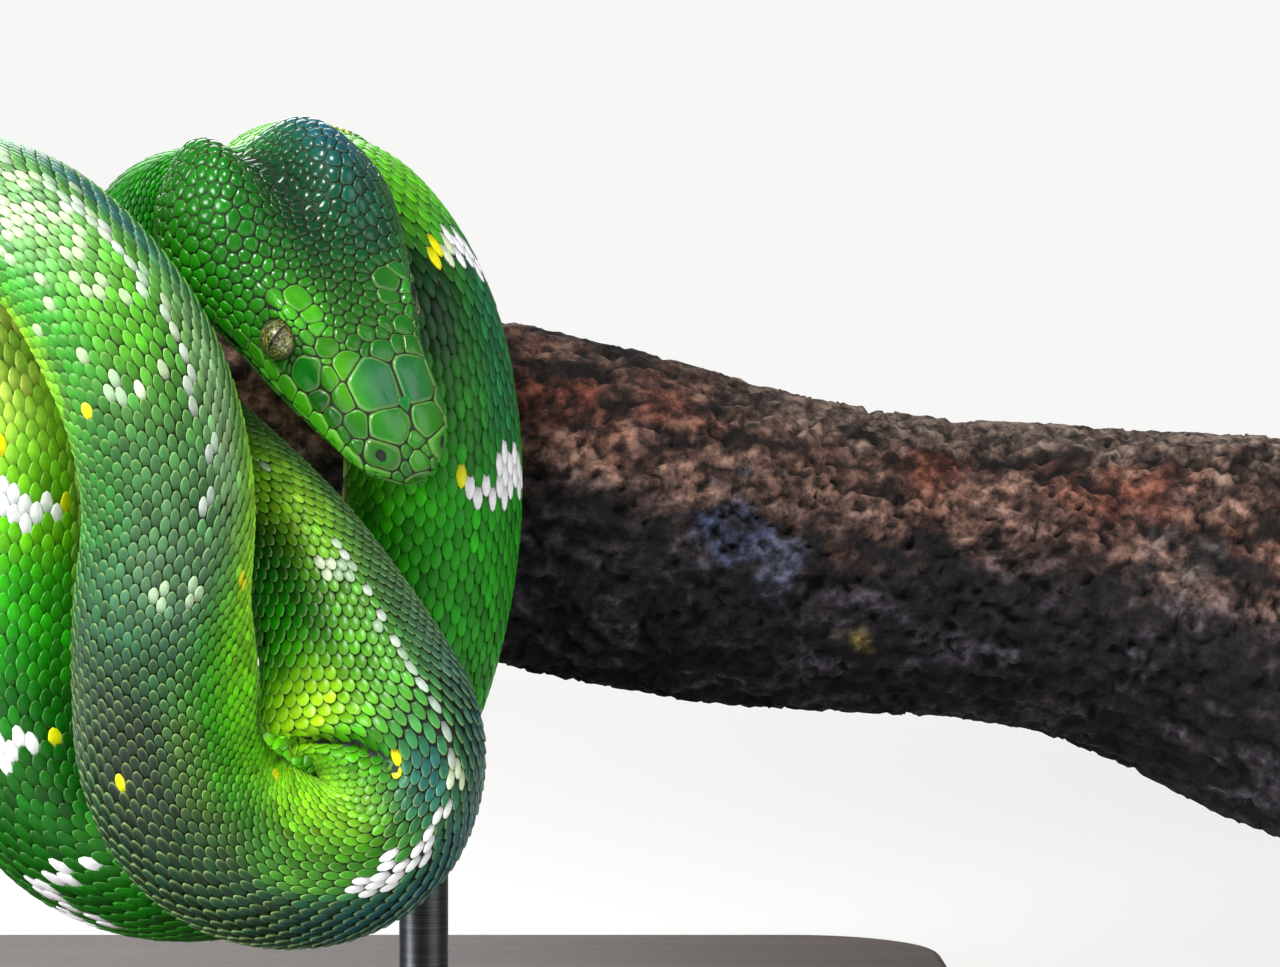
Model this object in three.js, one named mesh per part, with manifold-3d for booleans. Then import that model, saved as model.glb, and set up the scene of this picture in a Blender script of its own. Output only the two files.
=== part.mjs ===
// Green tree python coiled over a short length of branch, life size, on a plain display stand.
//
// Frame: millimetres, +Z up, +X to the right along the branch, -Y towards the front of the
// display. The origin is the middle of the underside of the base.
//
// The animal is one long loft. Its route runs from the tip of the snout (distance 0) through the
// neck, the front hairpin, the loop behind the branch, the wide outer ring at the front and the
// tail that winds round the branch. Girth, depth and the pads of flesh that a tight bend squeezes
// out are functions of the distance along that route. Thin square cuts part it into lengths.

import * as THREE from 'three';
import { mergeVertices } from 'three/addons/utils/BufferGeometryUtils.js';
import Module from 'manifold-3d';

// ---------------------------------------------------------------- driving dimensions

const GAP = 0.3;                 // clearance between neighbouring pieces
const PERCH_HEIGHT = 104;        // underside of the base to the branch's axis above the origin
const BRANCH_TILT = THREE.MathUtils.degToRad(9);

const base = { length: 244, depth: 170, thickness: 14, corner: 26, bevel: 1.6, middle: 0 };
const rod = { radius: 4, footRadius: 9, footHeight: 3, grip: 9, sides: 16 };
const rodPlaces = { left: -45, right: 33 };

const eye = { radius: 3.15, fromSnout: 24.9, aside: 9.7, above: 4.1 };

const HEAD_END = 56;             // distance along the route where the head is parted from the neck
const DEPTH_RATIO = 1.12;        // depth of the trunk over its width
const RIDGE = 0.05;              // height of the ridge over the spine, as a share of the depth

// ---------------------------------------------------------------- the route of the body

// Each waypoint is x, y, z in millimetres from the branch's axis, then the roll of the back in
// degrees, measured from straight away from the branch.
const headAxis = [
  [37.5, -82.5, -5.5, 0], [32, -78.5, 3.5, 0], [26.5, -74.5, 12, 0], [21.5, -70.5, 21, 0],
  [17.2, -66.8, 28, 0], [13.6, -62.6, 33.2, 0],
];
const neckCurl = [
  [10, -57, 34.4, 0], [5.8, -51.8, 35.4, 0], [1.6, -48.2, 36.2, 0], [-3.5, -47.2, 34.8, 2],
  [-6.9, -48.8, 30.2, 4], [-7.9, -51.4, 23.4, 2], [-6.3, -54, 16, -6], [-3.1, -56.2, 8, -16],
  [2.6, -58.2, 0.4, -26],
];
const frontHairpin = [
  [10, -60.5, -7, -34], [17.5, -62.5, -15, -40], [24.5, -65, -24.5, -44], [31, -68, -34.5, -44],
  [34.5, -70, -41.5, -42], [34.5, -70.5, -48.5, -30], [31.5, -71.5, -55.5, -4],
  [25.5, -72.5, -59.5, 24], [18.5, -73.5, -60.5, 36], [12, -74.5, -59, 44], [6.5, -75.5, -55, 46],
  [2.5, -76.5, -48.5, 40], [1, -77.5, -41, 33], [1, -79, -32.5, 27], [1.5, -81, -22.5, 27],
  [3, -83, -11.5, 31], [2, -84, -1, 34], [-0.5, -84, 7.5, 33], [-4.5, -82.5, 15.5, 28],
  [-10.5, -79.5, 23.5, 20], [-18.5, -74, 30.5, 12], [-28.5, -64, 35, 6],
];
const loopBehind = [
  [-40, -53, 42, 2], [-52, -36.5, 49.5, 0], [-59.5, -11, 53, 0], [-62.5, 15, 50, 0],
  [-63, 37, 35.5, 0], [-59.5, 48.5, 11, 5], [-52, 52, -16.5, 10], [-37, 54, -41, 15],
  [-16.5, 54, -54, 20], [3.5, 52, -52, 15], [18.5, 48.5, -35.5, 10], [25, 44.5, -11, 5],
  [25, 42, 13, -5], [19.5, 30, 31.5, -20], [13, 9.5, 40, -35],
];
const outerRing = [
  [12.5, -13, 38.5, -50], [21, -30, 34, -62], [29.5, -39, 23.5, -74], [34, -41, 12, -80],
  [36, -42, -0.5, -82], [36, -42, -13, -82], [34, -42, -25.5, -80], [30, -41, -38, -76],
  [22, -39, -51, -62], [9, -39, -60, -48], [-6, -40, -61, -42], [-18, -41, -55, -52],
  [-24, -42, -44, -68], [-26.5, -42, -31.5, -76], [-27, -41, -16, -78], [-28.5, -40, -2, -76],
  [-32.5, -39, 9.5, -70], [-42, -38, 18.5, -60],
];
const overToTheTail = [
  [-60.5, -36, 25, -45], [-76.5, -27.5, 38, -30], [-86.5, -6.5, 51.5, -15], [-91, 17.5, 50, -5],
  [-92, 37, 30, 0], [-93, 43, 4.5, 0],
];
const tailWinding = [
  [-94, 35.5, -20.5, 0], [-96, 16.5, -33.5, 0], [-98.5, -5.5, -33.5, 0], [-101.5, -27, -22.5, 0],
  [-104, -37, -1, 0], [-107, -36.5, 23, 0], [-109.5, -21.5, 43, 0], [-112.5, 2, 49.5, 0],
  [-114.5, 20.5, 43, 0], [-116, 33.5, 26, 0], [-117.5, 35.5, 5.5, 0], [-119, 28, -11, 0],
];
const waypoints = [
  ...headAxis, ...neckCurl, ...frontHairpin, ...loopBehind, ...outerRing, ...overToTheTail,
  ...tailWinding,
];

// ---------------------------------------------------------------- outlines along the route

// Distance from the snout, half width, top and bottom of the head about its axis.
const headOutline = [
  [0, 0.9, 0.4, -1.2], [1.2, 4.6, 2, -2.8], [4, 7.1, 3.6, -4.1], [8.6, 8.6, 5.2, -5.2],
  [15.2, 10, 7.4, -6.8], [22.6, 11.9, 8.7, -8.4], [29, 13.6, 8.8, -9.3], [35.6, 16, 9.6, -10],
  [43, 17.7, 11.4, -10.7], [50.5, 17.4, 11, -9.6], [56, 13.6, 8.6, -7.2], [61, 8.8, 7.8, -6.8],
  [68, 7.5, 8.2, -7.6],
];
// Distance from the snout, half width of neck, trunk and tail.
const girth = [
  [56, 7.4], [80, 7.5], [115, 9], [160, 11.1], [225, 11.7], [285, 11.6], [300, 10.4], [315, 9.8],
  [340, 9.8], [375, 10.4], [430, 11.6], [620, 12.3], [850, 12.3], [1035, 11.6], [1155, 9.8],
  [1265, 6.6], [1360, 3.3], [1392, 1.3],
];
// Distance from the snout and how far the squeezed inner flank of the hairpin stands out.
const innerPad = [
  [138, 0], [144, 1.2], [150, 3.2], [155, 5.6], [160, 7.2], [165, 5.7], [170, 3.8], [175, 2.9],
  [179, 1.3], [183, 0.3], [187, 0.5], [193, 1.8], [200, 3], [208, 3.6], [214, 3.2],
  [220, 2.6], [227, 2.2], [233, 2.4], [240, 1.8], [248, 0.5], [256, 0],
];
const PAD_WIDTH = 0.6;           // radians round the flank

// Name of each length, and how far from the snout it ends.
const lengths = [
  ['neck', 116], ['trunk_front_descent', 181.2], ['trunk_front_hairpin', 250],
  ['trunk_front_rise', 325], ['trunk_over_left', 400], ['trunk_rear_descent', 470],
  ['trunk_rear_bend', 580], ['trunk_rear_rise', 665], ['trunk_over_right', 735],
  ['trunk_ring_descent', 815], ['trunk_ring_bend', 905], ['trunk_ring_rise', 975],
  ['trunk_over_far_left', 1060], ['trunk_under', 1165], ['tail_root', 1265], ['tail_tip', null],
];

// Branch: place along X, drop below the straight axis, radius.
const branchOutline = [
  [-140, 0, 23.4], [-124, 0, 24.6], [-100, 0, 24.2], [-60, 0, 24.4], [-20, 0, 24.2], [15, 0, 24.6],
  [36, 0.2, 26.4], [50, 0.6, 28.2], [72, 2, 27.4], [94, 2.6, 25.8], [112, 2.2, 24.4],
  [128, 0.6, 25], [145, 0, 26.4], [160, 1.4, 30], [172, 3.4, 32.4], [180, 4.4, 32.8],
];
const branchGrid = { sides: 24, step: 14 };

// ---------------------------------------------------------------- small tools

const smooth = (low, high, x) => THREE.MathUtils.smoothstep(x, low, high);

// Straight interpolation in a table whose rows start with the distance.
function lookUp(table, distance, column) {
  let row = 1;
  while (row < table.length - 1 && distance > table[row][0]) row += 1;
  const [before, after] = [table[row - 1], table[row]];
  const share = THREE.MathUtils.clamp((distance - before[0]) / (after[0] - before[0]), 0, 1);
  return before[column] + share * (after[column] - before[column]);
}

// The same table, rounded off by averaging over a short window.
function blended(table, distance, column, window = 6) {
  let sum = 0;
  for (let k = -2; k <= 2; k += 1) sum += lookUp(table, distance + (k * window) / 2, column);
  return sum / 5;
}

// A closed mesh from rings of equal size, each ring running the same way round.
function loft(rings) {
  const sides = rings[0].length;
  const positions = rings.flat();
  const indices = [];
  for (let i = 0; i < rings.length - 1; i += 1) {
    for (let j = 0; j < sides; j += 1) {
      const [a, b] = [i * sides + j, i * sides + ((j + 1) % sides)];
      indices.push(a, b, b + sides, a, b + sides, a + sides);
    }
  }
  for (const [ring, flip] of [[0, true], [rings.length - 1, false]]) {
    const middle = new THREE.Vector3();
    rings[ring].forEach((point) => middle.addScaledVector(point, 1 / sides));
    positions.push(middle);
    for (let j = 0; j < sides; j += 1) {
      const [a, b] = [ring * sides + j, ring * sides + ((j + 1) % sides)];
      indices.push(positions.length - 1, ...(flip ? [b, a] : [a, b]));
    }
  }
  const geometry = new THREE.BufferGeometry();
  const flat = positions.flatMap((point) => [point.x, point.y, point.z]);
  geometry.setAttribute('position', new THREE.Float32BufferAttribute(flat, 3));
  geometry.setIndex(indices);
  return geometry;
}

// ---------------------------------------------------------------- the route as a smooth curve

// Control points that make a uniform cubic B-spline run (very nearly) through the waypoints.
function controlPoints() {
  let points = waypoints.map((w) => [...w]);
  for (let pass = 0; pass < 2; pass += 1) {
    points = points.map((point, i) => {
      if (i === 0 || i === points.length - 1) return point;
      return point.map((value, k) => {
        const average = (points[i - 1][k] + 4 * value + points[i + 1][k]) / 6;
        return value + waypoints[i][k] - average;
      });
    });
  }
  return points;
}

function sampleRoute(perSpan = 24) {
  const control = controlPoints();
  const [first, last] = [control[0], control[control.length - 1]];
  const all = [first, first, ...control, last, last];
  const samples = [];
  for (let i = 0; i < all.length - 3; i += 1) {
    for (let k = 0; k < perSpan; k += 1) {
      const t = k / perSpan;
      const weights = [
        (1 - t) ** 3 / 6, (3 * t ** 3 - 6 * t ** 2 + 4) / 6,
        (-3 * t ** 3 + 3 * t ** 2 + 3 * t + 1) / 6, t ** 3 / 6,
      ];
      samples.push([0, 1, 2, 3].map((c) => weights.reduce((s, w, j) => s + w * all[i + j][c], 0)));
    }
  }
  samples.push(last);
  let travelled = 0;
  return samples.map(([x, y, z, roll], i) => {
    const place = new THREE.Vector3(x, y, z);
    if (i > 0) travelled += place.distanceTo(new THREE.Vector3(...samples[i - 1].slice(0, 3)));
    return { place, roll, distance: travelled };
  });
}

const route = sampleRoute();
const BODY_LENGTH = route[route.length - 1].distance;

function placeAt(distance) {
  let high = route.findIndex((sample) => sample.distance >= distance);
  if (high < 1) high = high === 0 ? 1 : route.length - 1;
  const [a, b] = [route[high - 1], route[high]];
  const share = (distance - a.distance) / Math.max(b.distance - a.distance, 1e-9);
  return {
    place: a.place.clone().lerp(b.place, share),
    roll: a.roll + share * (b.roll - a.roll),
  };
}

const branchAxis = new THREE.Vector3(Math.cos(BRANCH_TILT), 0, -Math.sin(BRANCH_TILT));
const headUp = new THREE.Vector3(0.198, -0.842, 0.502);
const HEAD_LEAN = THREE.MathUtils.degToRad(8);    // turn of the snout towards the animal's left

// Middle, direction towards the tail, back and left-hand side of the body at a distance.
function frameAt(distance) {
  const { place, roll } = placeAt(distance);
  const reach = 0.5;
  const tangent = placeAt(Math.min(distance + reach, BODY_LENGTH)).place
    .sub(placeAt(Math.max(distance - reach, 0)).place).normalize();
  const along = place.clone().projectOnVector(branchAxis);
  const outward = place.clone().sub(along).projectOnPlane(tangent).normalize();
  const rolled = outward.applyAxisAngle(tangent, THREE.MathUtils.degToRad(roll));
  const lean = HEAD_LEAN * (1 - 0.5 * smooth(30, 46, distance));
  const skull = headUp.clone().projectOnPlane(tangent).normalize().applyAxisAngle(tangent, lean);
  const back = skull.lerp(rolled, smooth(HEAD_END - 6, HEAD_END + 26, distance));
  back.projectOnPlane(tangent).normalize();
  return { place, tangent, back, side: new THREE.Vector3().crossVectors(tangent, back) };
}

// ---------------------------------------------------------------- cross-sections

// Trunk: a rounded wedge with a low ridge over the spine and a flattened belly.
function trunkPoint(distance, angle) {
  const half = blended(girth, distance, 1);
  const [c, s] = [Math.cos(angle), Math.sin(angle)];
  const deep = half * DEPTH_RATIO;
  const fromBack = Math.abs(Math.atan2(s, c));
  const pad = blended(innerPad, distance, 1, 3)
    * Math.exp(-(((angle - Math.PI / 2) / PAD_WIDTH) ** 2));
  const aside = half * s * (1 - 0.1 * c - 0.03 * Math.cos(2 * angle)) + pad;
  const belly = deep * c * (1 - 0.1 * (1 - Math.abs(s)));
  const above = (c > 0 ? deep * c : belly) + RIDGE * deep * Math.exp(-((fromBack / 0.3) ** 2));
  return [aside, above];
}

// Head: boxy at the snout, with two domed jaw muscles at the back, a groove between them and a
// brow over each eye. The head is turned a little, so its two sides are not quite alike.
function headPoint(distance, angle) {
  const [half, top, bottom] = [1, 2, 3].map((k) => blended(headOutline, distance, k, 2.4));
  const [c, s] = [Math.cos(angle), Math.sin(angle)];
  const squareness = 0.8;
  const aside = half * Math.sign(s) * Math.abs(s) ** squareness;
  const rise = Math.abs(c) ** squareness;
  const lobes = Math.exp(-(((distance - 47.5) / 8) ** 2));
  const domeHeight = s > 0 ? 3.1 : 4.6;
  const dome = domeHeight * Math.exp(-(((Math.abs(aside) - 9.2) / 4.6) ** 2));
  const groove = 4 * Math.exp(-((aside / 4) ** 2));
  const fromBack = Math.abs(Math.atan2(s, c));
  const browAt = s > 0 ? 0.9 : 0.7;
  const brow = Math.exp(-(((distance - 26) / 5) ** 2) - ((fromBack - browAt) / 0.22) ** 2);
  const above = c > 0 ? top * rise + lobes * (dome - groove) * rise : bottom * rise;
  const browReach = s > 0 ? 1 : -0.4;
  return [aside + browReach * brow, above + 0.9 * brow];
}

function bodyPoint(distance, angle) {
  const trunk = trunkPoint(distance, angle);
  const head = headPoint(distance, angle);
  const share = smooth(HEAD_END, HEAD_END + 10, distance);
  return [0, 1].map((k) => head[k] + share * (trunk[k] - head[k]));
}

function ringAt(distance, sides) {
  const { place, back, side } = frameAt(distance);
  const swell = 1 / Math.cos(Math.PI / sides) ** 0.5;
  return Array.from({ length: sides }, (_, j) => {
    const [aside, above] = bodyPoint(distance, (2 * Math.PI * j) / sides);
    return place.clone().addScaledVector(side, aside * swell).addScaledVector(back, above * swell);
  });
}

// Distances of the rings of one length: closer together where the body turns tightly.
function ringPlaces(from, to) {
  const places = [from];
  while (places[places.length - 1] < to - 0.01) {
    const here = places[places.length - 1];
    const step = here < HEAD_END + 4 ? 2.9 : here < 130 ? 5 : here < 262 ? 4.6 : 10;
    const next = here + step;
    places.push(to - next < step * 0.5 ? to : next);
  }
  return places;
}

function bodyLength(from, to, sides) {
  return loft(ringPlaces(from, to).map((distance) => ringAt(distance, sides)));
}

// ---------------------------------------------------------------- materials

function finish(color, roughness, metalness = 0) {
  return new THREE.MeshStandardMaterial({ color, roughness, metalness });
}

const materials = {
  headGreen: finish('#176b26', 0.38),
  trunkGreen: finish('#2f8a22', 0.42),
  ringGreen: finish('#4fbd14', 0.45),
  iris: finish('#6f6c35', 0.12),
  bark: finish('#3d2a24', 0.92),
  baseWood: finish('#8a6a4c', 0.55),
  steel: finish('#b9bcbe', 0.32, 1),
};

// ---------------------------------------------------------------- joins and cuts

const wasm = await Module();
wasm.setup();

function solid(geometry) {
  const bare = geometry.clone();
  bare.deleteAttribute('normal');
  bare.deleteAttribute('uv');
  const merged = mergeVertices(bare, 1e-4);
  return new wasm.Manifold(new wasm.Mesh({
    numProp: 3,
    vertProperties: new Float32Array(merged.attributes.position.array),
    triVerts: new Uint32Array(merged.index.array),
  }));
}

function geometryOf(manifold) {
  const mesh = manifold.getMesh();
  const geometry = new THREE.BufferGeometry();
  geometry.setAttribute('position', new THREE.Float32BufferAttribute(mesh.vertProperties, 3));
  geometry.setIndex(new THREE.Uint32BufferAttribute(mesh.triVerts, 1));
  return geometry;
}

// ---------------------------------------------------------------- the pieces

function piece(name, geometry, material) {
  const mesh = new THREE.Mesh(geometry, material);
  mesh.name = name;
  return mesh;
}

// Each eye: hand is +1 for the animal's left, -1 for its right.
function eyeBall(hand, grow = 0) {
  const { place, side, back } = frameAt(eye.fromSnout);
  const middle = place.addScaledVector(side, hand * eye.aside).addScaledVector(back, eye.above);
  return new THREE.SphereGeometry(eye.radius + grow, 12, 8)
    .translate(middle.x, middle.y, middle.z);
}

function makeHead() {
  let head = solid(bodyLength(0, HEAD_END - GAP / 2, 22));
  for (const hand of [1, -1]) head = head.subtract(solid(eyeBall(hand, GAP)));
  return piece('head', geometryOf(head), materials.headGreen);
}

function makeBody() {
  let from = HEAD_END;
  return lengths.map(([name, end]) => {
    const to = end ?? BODY_LENGTH - 0.4;
    const sides = name === 'neck' ? 20 : 16;
    const geometry = bodyLength(from + GAP / 2, to - (end ? GAP / 2 : 0), sides);
    const inner = name.startsWith('trunk_front') || name === 'neck';
    from = to;
    return piece(name, geometry, inner ? materials.trunkGreen : materials.ringGreen);
  });
}

// Axis and radius of the branch at a place along X.
function branchAt(x) {
  const drop = blended(branchOutline, x, 1, 10);
  return { height: -Math.tan(BRANCH_TILT) * x - drop, radius: blended(branchOutline, x, 2, 10) };
}

function makeBranch() {
  const [start, end] = [branchOutline[0][0], branchOutline[branchOutline.length - 1][0]];
  const count = Math.round((end - start) / branchGrid.step);
  const across = new THREE.Vector3(0, 1, 0);
  const up = new THREE.Vector3(Math.sin(BRANCH_TILT), 0, Math.cos(BRANCH_TILT));
  const rings = Array.from({ length: count + 1 }, (_, i) => {
    const x = start + (i * (end - start)) / count;
    const { height, radius } = branchAt(x);
    return Array.from({ length: branchGrid.sides }, (__, j) => {
      const angle = (2 * Math.PI * j) / branchGrid.sides;
      const lump = 0.35 * Math.sin(3 * angle + x / 17) + 0.25 * Math.sin(5 * angle - x / 11);
      return new THREE.Vector3(x, 0, height)
        .addScaledVector(across, (radius + lump) * Math.sin(angle))
        .addScaledVector(up, (radius + lump) * Math.cos(angle));
    });
  });
  let branch = solid(loft(rings.reverse()));
  for (const x of Object.values(rodPlaces)) {
    const hole = new THREE.CylinderGeometry(rod.radius + GAP, rod.radius + GAP, 40, rod.sides)
      .rotateX(Math.PI / 2).translate(x, 0, rodTop(x) + GAP - 20);
    branch = branch.subtract(solid(hole));
  }
  return piece('perch_branch', geometryOf(branch), materials.bark);
}

// The rods stand upright and end inside the branch.
function rodTop(x) {
  const { height, radius } = branchAt(x);
  return height - radius + rod.grip;
}

function makeRod(name, x) {
  const bottom = base.thickness - PERCH_HEIGHT + 0.05;
  const outline = [
    [0, bottom], [rod.footRadius, bottom], [rod.footRadius, bottom + rod.footHeight - 1],
    [rod.footRadius - 1, bottom + rod.footHeight], [rod.radius, bottom + rod.footHeight],
    [rod.radius, rodTop(x)], [0, rodTop(x)],
  ].map(([radius, height]) => new THREE.Vector2(radius, height));
  const geometry = new THREE.LatheGeometry(outline, rod.sides).rotateX(Math.PI / 2);
  return piece(name, geometry.translate(x, 0, 0), materials.steel);
}

function makeBase() {
  const [x, y] = [base.length / 2 - base.bevel, base.depth / 2 - base.bevel];
  const r = base.corner;
  const outline = new THREE.Shape();
  outline.absarc(x - r, y - r, r, 0, Math.PI / 2);
  outline.absarc(-x + r, y - r, r, Math.PI / 2, Math.PI);
  outline.absarc(-x + r, -y + r, r, Math.PI, 1.5 * Math.PI);
  outline.absarc(x - r, -y + r, r, 1.5 * Math.PI, 2 * Math.PI);
  const geometry = new THREE.ExtrudeGeometry(outline, {
    depth: base.thickness - 2 * base.bevel, bevelThickness: base.bevel, bevelSize: base.bevel,
    bevelSegments: 1, curveSegments: 5,
  });
  geometry.translate(base.middle, 0, base.bevel - PERCH_HEIGHT);
  return piece('stand_base', geometry, materials.baseWood);
}

// ---------------------------------------------------------------- the whole display

const display = new THREE.Group();
const raised = new THREE.Group();
raised.position.z = PERCH_HEIGHT;
raised.add(makeHead(), ...makeBody());
raised.add(piece('eye_left', eyeBall(1), materials.iris));
raised.add(piece('eye_right', eyeBall(-1), materials.iris));
raised.add(makeBranch());
raised.add(makeRod('stand_rod_left', rodPlaces.left), makeRod('stand_rod_right', rodPlaces.right));
raised.add(makeBase());
display.add(raised);

export default display;
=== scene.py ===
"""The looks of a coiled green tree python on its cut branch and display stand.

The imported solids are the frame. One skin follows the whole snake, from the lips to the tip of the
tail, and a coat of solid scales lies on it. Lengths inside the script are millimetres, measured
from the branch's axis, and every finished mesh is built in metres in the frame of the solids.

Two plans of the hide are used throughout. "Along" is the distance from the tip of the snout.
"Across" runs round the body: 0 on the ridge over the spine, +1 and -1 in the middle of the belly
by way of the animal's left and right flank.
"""

import logging
import math
from dataclasses import dataclass, field
from enum import Enum

import bpy
import numpy as np
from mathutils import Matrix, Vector
from mathutils.bvhtree import BVHTree
from mathutils.kdtree import KDTree


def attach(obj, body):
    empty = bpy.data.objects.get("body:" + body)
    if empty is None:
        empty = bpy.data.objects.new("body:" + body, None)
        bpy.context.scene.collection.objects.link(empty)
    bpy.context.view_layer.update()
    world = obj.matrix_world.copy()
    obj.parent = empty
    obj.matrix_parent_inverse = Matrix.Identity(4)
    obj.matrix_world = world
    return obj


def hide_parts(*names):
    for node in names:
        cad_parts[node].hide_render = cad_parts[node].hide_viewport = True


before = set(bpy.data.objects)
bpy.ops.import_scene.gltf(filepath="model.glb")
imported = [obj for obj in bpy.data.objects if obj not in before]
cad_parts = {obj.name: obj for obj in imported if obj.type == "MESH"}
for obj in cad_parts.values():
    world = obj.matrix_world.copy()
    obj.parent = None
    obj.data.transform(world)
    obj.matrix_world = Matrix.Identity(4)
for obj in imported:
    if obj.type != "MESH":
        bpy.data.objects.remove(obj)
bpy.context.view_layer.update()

log = logging.getLogger("python_on_branch")

MM = 0.001
PERCH_HEIGHT = 104.0  # underside of the base to the branch's axis, above the origin
BRANCH_TILT = math.radians(9.0)
HEAD_LEAN = math.radians(8)
HEAD_END = 56.0
BODY_END = 1383.0

Array = np.ndarray
Piece = bpy.types.Object
Mesh = bpy.types.Mesh
Material = bpy.types.Material
Tree = bpy.types.NodeTree
Node = bpy.types.Node
Socket = bpy.types.NodeSocket


# ---- small tools


def to_world(points: Array) -> Array:
    """Metres in the solids' frame, from millimetres about the branch's axis."""
    return (points + np.array([0.0, 0.0, PERCH_HEIGHT])) * MM


def unit(vectors: Array) -> Array:
    """The same vectors at length one."""
    return vectors / np.maximum(np.linalg.norm(vectors, axis=-1, keepdims=True), 1e-9)


def smoothstep(low: float, high: float, x: Array) -> Array:
    """A soft switch from 0 at low to 1 at high."""
    t = np.clip((np.asarray(x, float) - low) / (high - low), 0.0, 1.0)
    return t * t * (3.0 - 2.0 * t)


def bell(x: Array, middle: float, spread: float) -> Array:
    """A bump of height one."""
    return np.exp(-(((x - middle) / spread) ** 2))


def linear(hex_colour: str) -> Array:
    """Scene-linear red, green and blue of a colour that should look like #rrggbb."""
    values = np.array([int(hex_colour[k : k + 2], 16) for k in (1, 3, 5)]) / 255.0
    return np.where(values <= 0.04045, values / 12.92, ((values + 0.055) / 1.055) ** 2.4)


def rgba(hex_colour: str) -> tuple[float, float, float, float]:
    """A colour socket's value, from #rrggbb."""
    return (*linear(hex_colour).tolist(), 1.0)


def towards(colour: Array, *steps: tuple[str, Array]) -> Array:
    """Colours that move towards others in turn, each by its own share of the way."""
    for other, share in steps:
        colour = colour + (linear(other) - colour) * np.clip(share, 0, 1)[:, None]
    return colour


def around(sides: int) -> list[tuple[int, int]]:
    """Every number of a ring with the one after it."""
    return [(j, (j + 1) % sides) for j in range(sides)]


def tube_faces(rings: int, sides: int) -> list:
    """The quads of a tube whose points go round it ring by ring."""
    return [(a + j, a + k, a + sides + k, a + sides + j)
            for a in range(0, (rings - 1) * sides, sides) for j, k in around(sides)]


def closed_tube(rings: int, sides: int, inside_out: bool = False) -> list:
    """The faces of a tube that is closed at both ends.

    Args:
        rings: how many rings it has.
        sides: points in a ring. The middles of its two ends come after the last ring.
        inside_out: whether the rings go round the other way.

    Returns:
        The faces, outwards.
    """
    last = (rings - 1) * sides
    faces = tube_faces(rings, sides) + [(k, j, last + sides) for j, k in around(sides)]
    faces += [(last + j, last + k, last + sides + 1) for j, k in around(sides)]
    return [(face[0], *face[:0:-1]) for face in faces] if inside_out else faces


def grid_quads(rows: int, wide: int) -> Array:
    """The quads of an open grid with so many rows and columns of points."""
    first = (np.arange(rows - 1)[:, None] * wide + np.arange(wide - 1)).ravel()
    return first[:, None] + np.array([0, wide, wide + 1, 1])


def mesh_object(name: str, points: Array, faces: list, smooth: bool = True) -> Piece:
    """An object at the origin whose mesh holds its place.

    Args:
        name: the piece's name.
        points: its vertices in metres.
        faces: the corners of each face.
        smooth: whether its faces are shaded smooth.

    Returns:
        The object, linked to the scene.
    """
    mesh = bpy.data.meshes.new(name)
    mesh.from_pydata(points.tolist(), [], faces)
    mesh.update()
    if smooth:
        mesh.polygons.foreach_set("use_smooth", np.ones(len(mesh.polygons), bool))
    piece = bpy.data.objects.new(name, mesh)
    bpy.context.scene.collection.objects.link(piece)
    return piece


def read_all(items: bpy.types.bpy_prop_collection, key: str, width: int = 1,
             kind: type = np.float32) -> Array:
    """One property of every item of a mesh, in rows where it has more numbers than one."""
    flat = np.empty(len(items) * width, kind)
    items.foreach_get(key, flat)
    return flat.reshape(-1, width) if width > 1 else flat


def store(mesh: Mesh, name: str, values: Array) -> None:
    """Keeps a number, or three, for every vertex.

    Args:
        mesh: the mesh that takes them.
        name: the attribute's name, as the materials read it.
        values: one row for each vertex.
    """
    values = np.asarray(values, np.float32)
    kind, key = ("FLOAT", "value") if values.ndim == 1 else ("FLOAT_VECTOR", "vector")
    mesh.attributes.new(name, kind, "POINT").data.foreach_set(key, values.ravel())


def bake_map(mesh: Mesh, corners: Array) -> None:
    """Gives the mesh its OFBake map, from one pair for each face corner."""
    layer = mesh.uv_layers.new(name="OFBake", do_init=False)
    layer.uv.foreach_set("vector", np.asarray(corners, np.float32).ravel())


# ---- the body's shape

# Each waypoint is x, y, z, then the roll of the back in degrees.
HEAD_AXIS = [
    (37.5, -82.5, -5.5, 0), (32, -78.5, 3.5, 0), (26.5, -74.5, 12, 0), (21.5, -70.5, 21, 0),
    (17.2, -66.8, 28, 0), (13.6, -62.6, 33.2, 0),
]
NECK_CURL = [
    (10, -57, 34.4, 0), (5.8, -51.8, 35.4, 0), (1.6, -48.2, 36.2, 0), (-3.5, -47.2, 34.8, 2),
    (-6.9, -48.8, 30.2, 4), (-7.9, -51.4, 23.4, 2), (-6.3, -54, 16, -6),
    (-3.1, -56.2, 8, -16), (2.6, -58.2, 0.4, -26),
]
FRONT_HAIRPIN = [
    (10, -60.5, -7, -34), (17.5, -62.5, -15, -40), (24.5, -65, -24.5, -44),
    (31, -68, -34.5, -44), (34.5, -70, -41.5, -42), (34.5, -70.5, -48.5, -30),
    (31.5, -71.5, -55.5, -4), (25.5, -72.5, -59.5, 24), (18.5, -73.5, -60.5, 36),
    (12, -74.5, -59, 44), (6.5, -75.5, -55, 46), (2.5, -76.5, -48.5, 40), (1, -77.5, -41, 33),
    (1, -79, -32.5, 27), (1.5, -81, -22.5, 27), (3, -83, -11.5, 31), (2, -84, -1, 34),
    (-0.5, -84, 7.5, 33), (-4.5, -82.5, 15.5, 28), (-10.5, -79.5, 23.5, 20),
    (-18.5, -74, 30.5, 12), (-28.5, -64, 35, 6),
]
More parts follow.
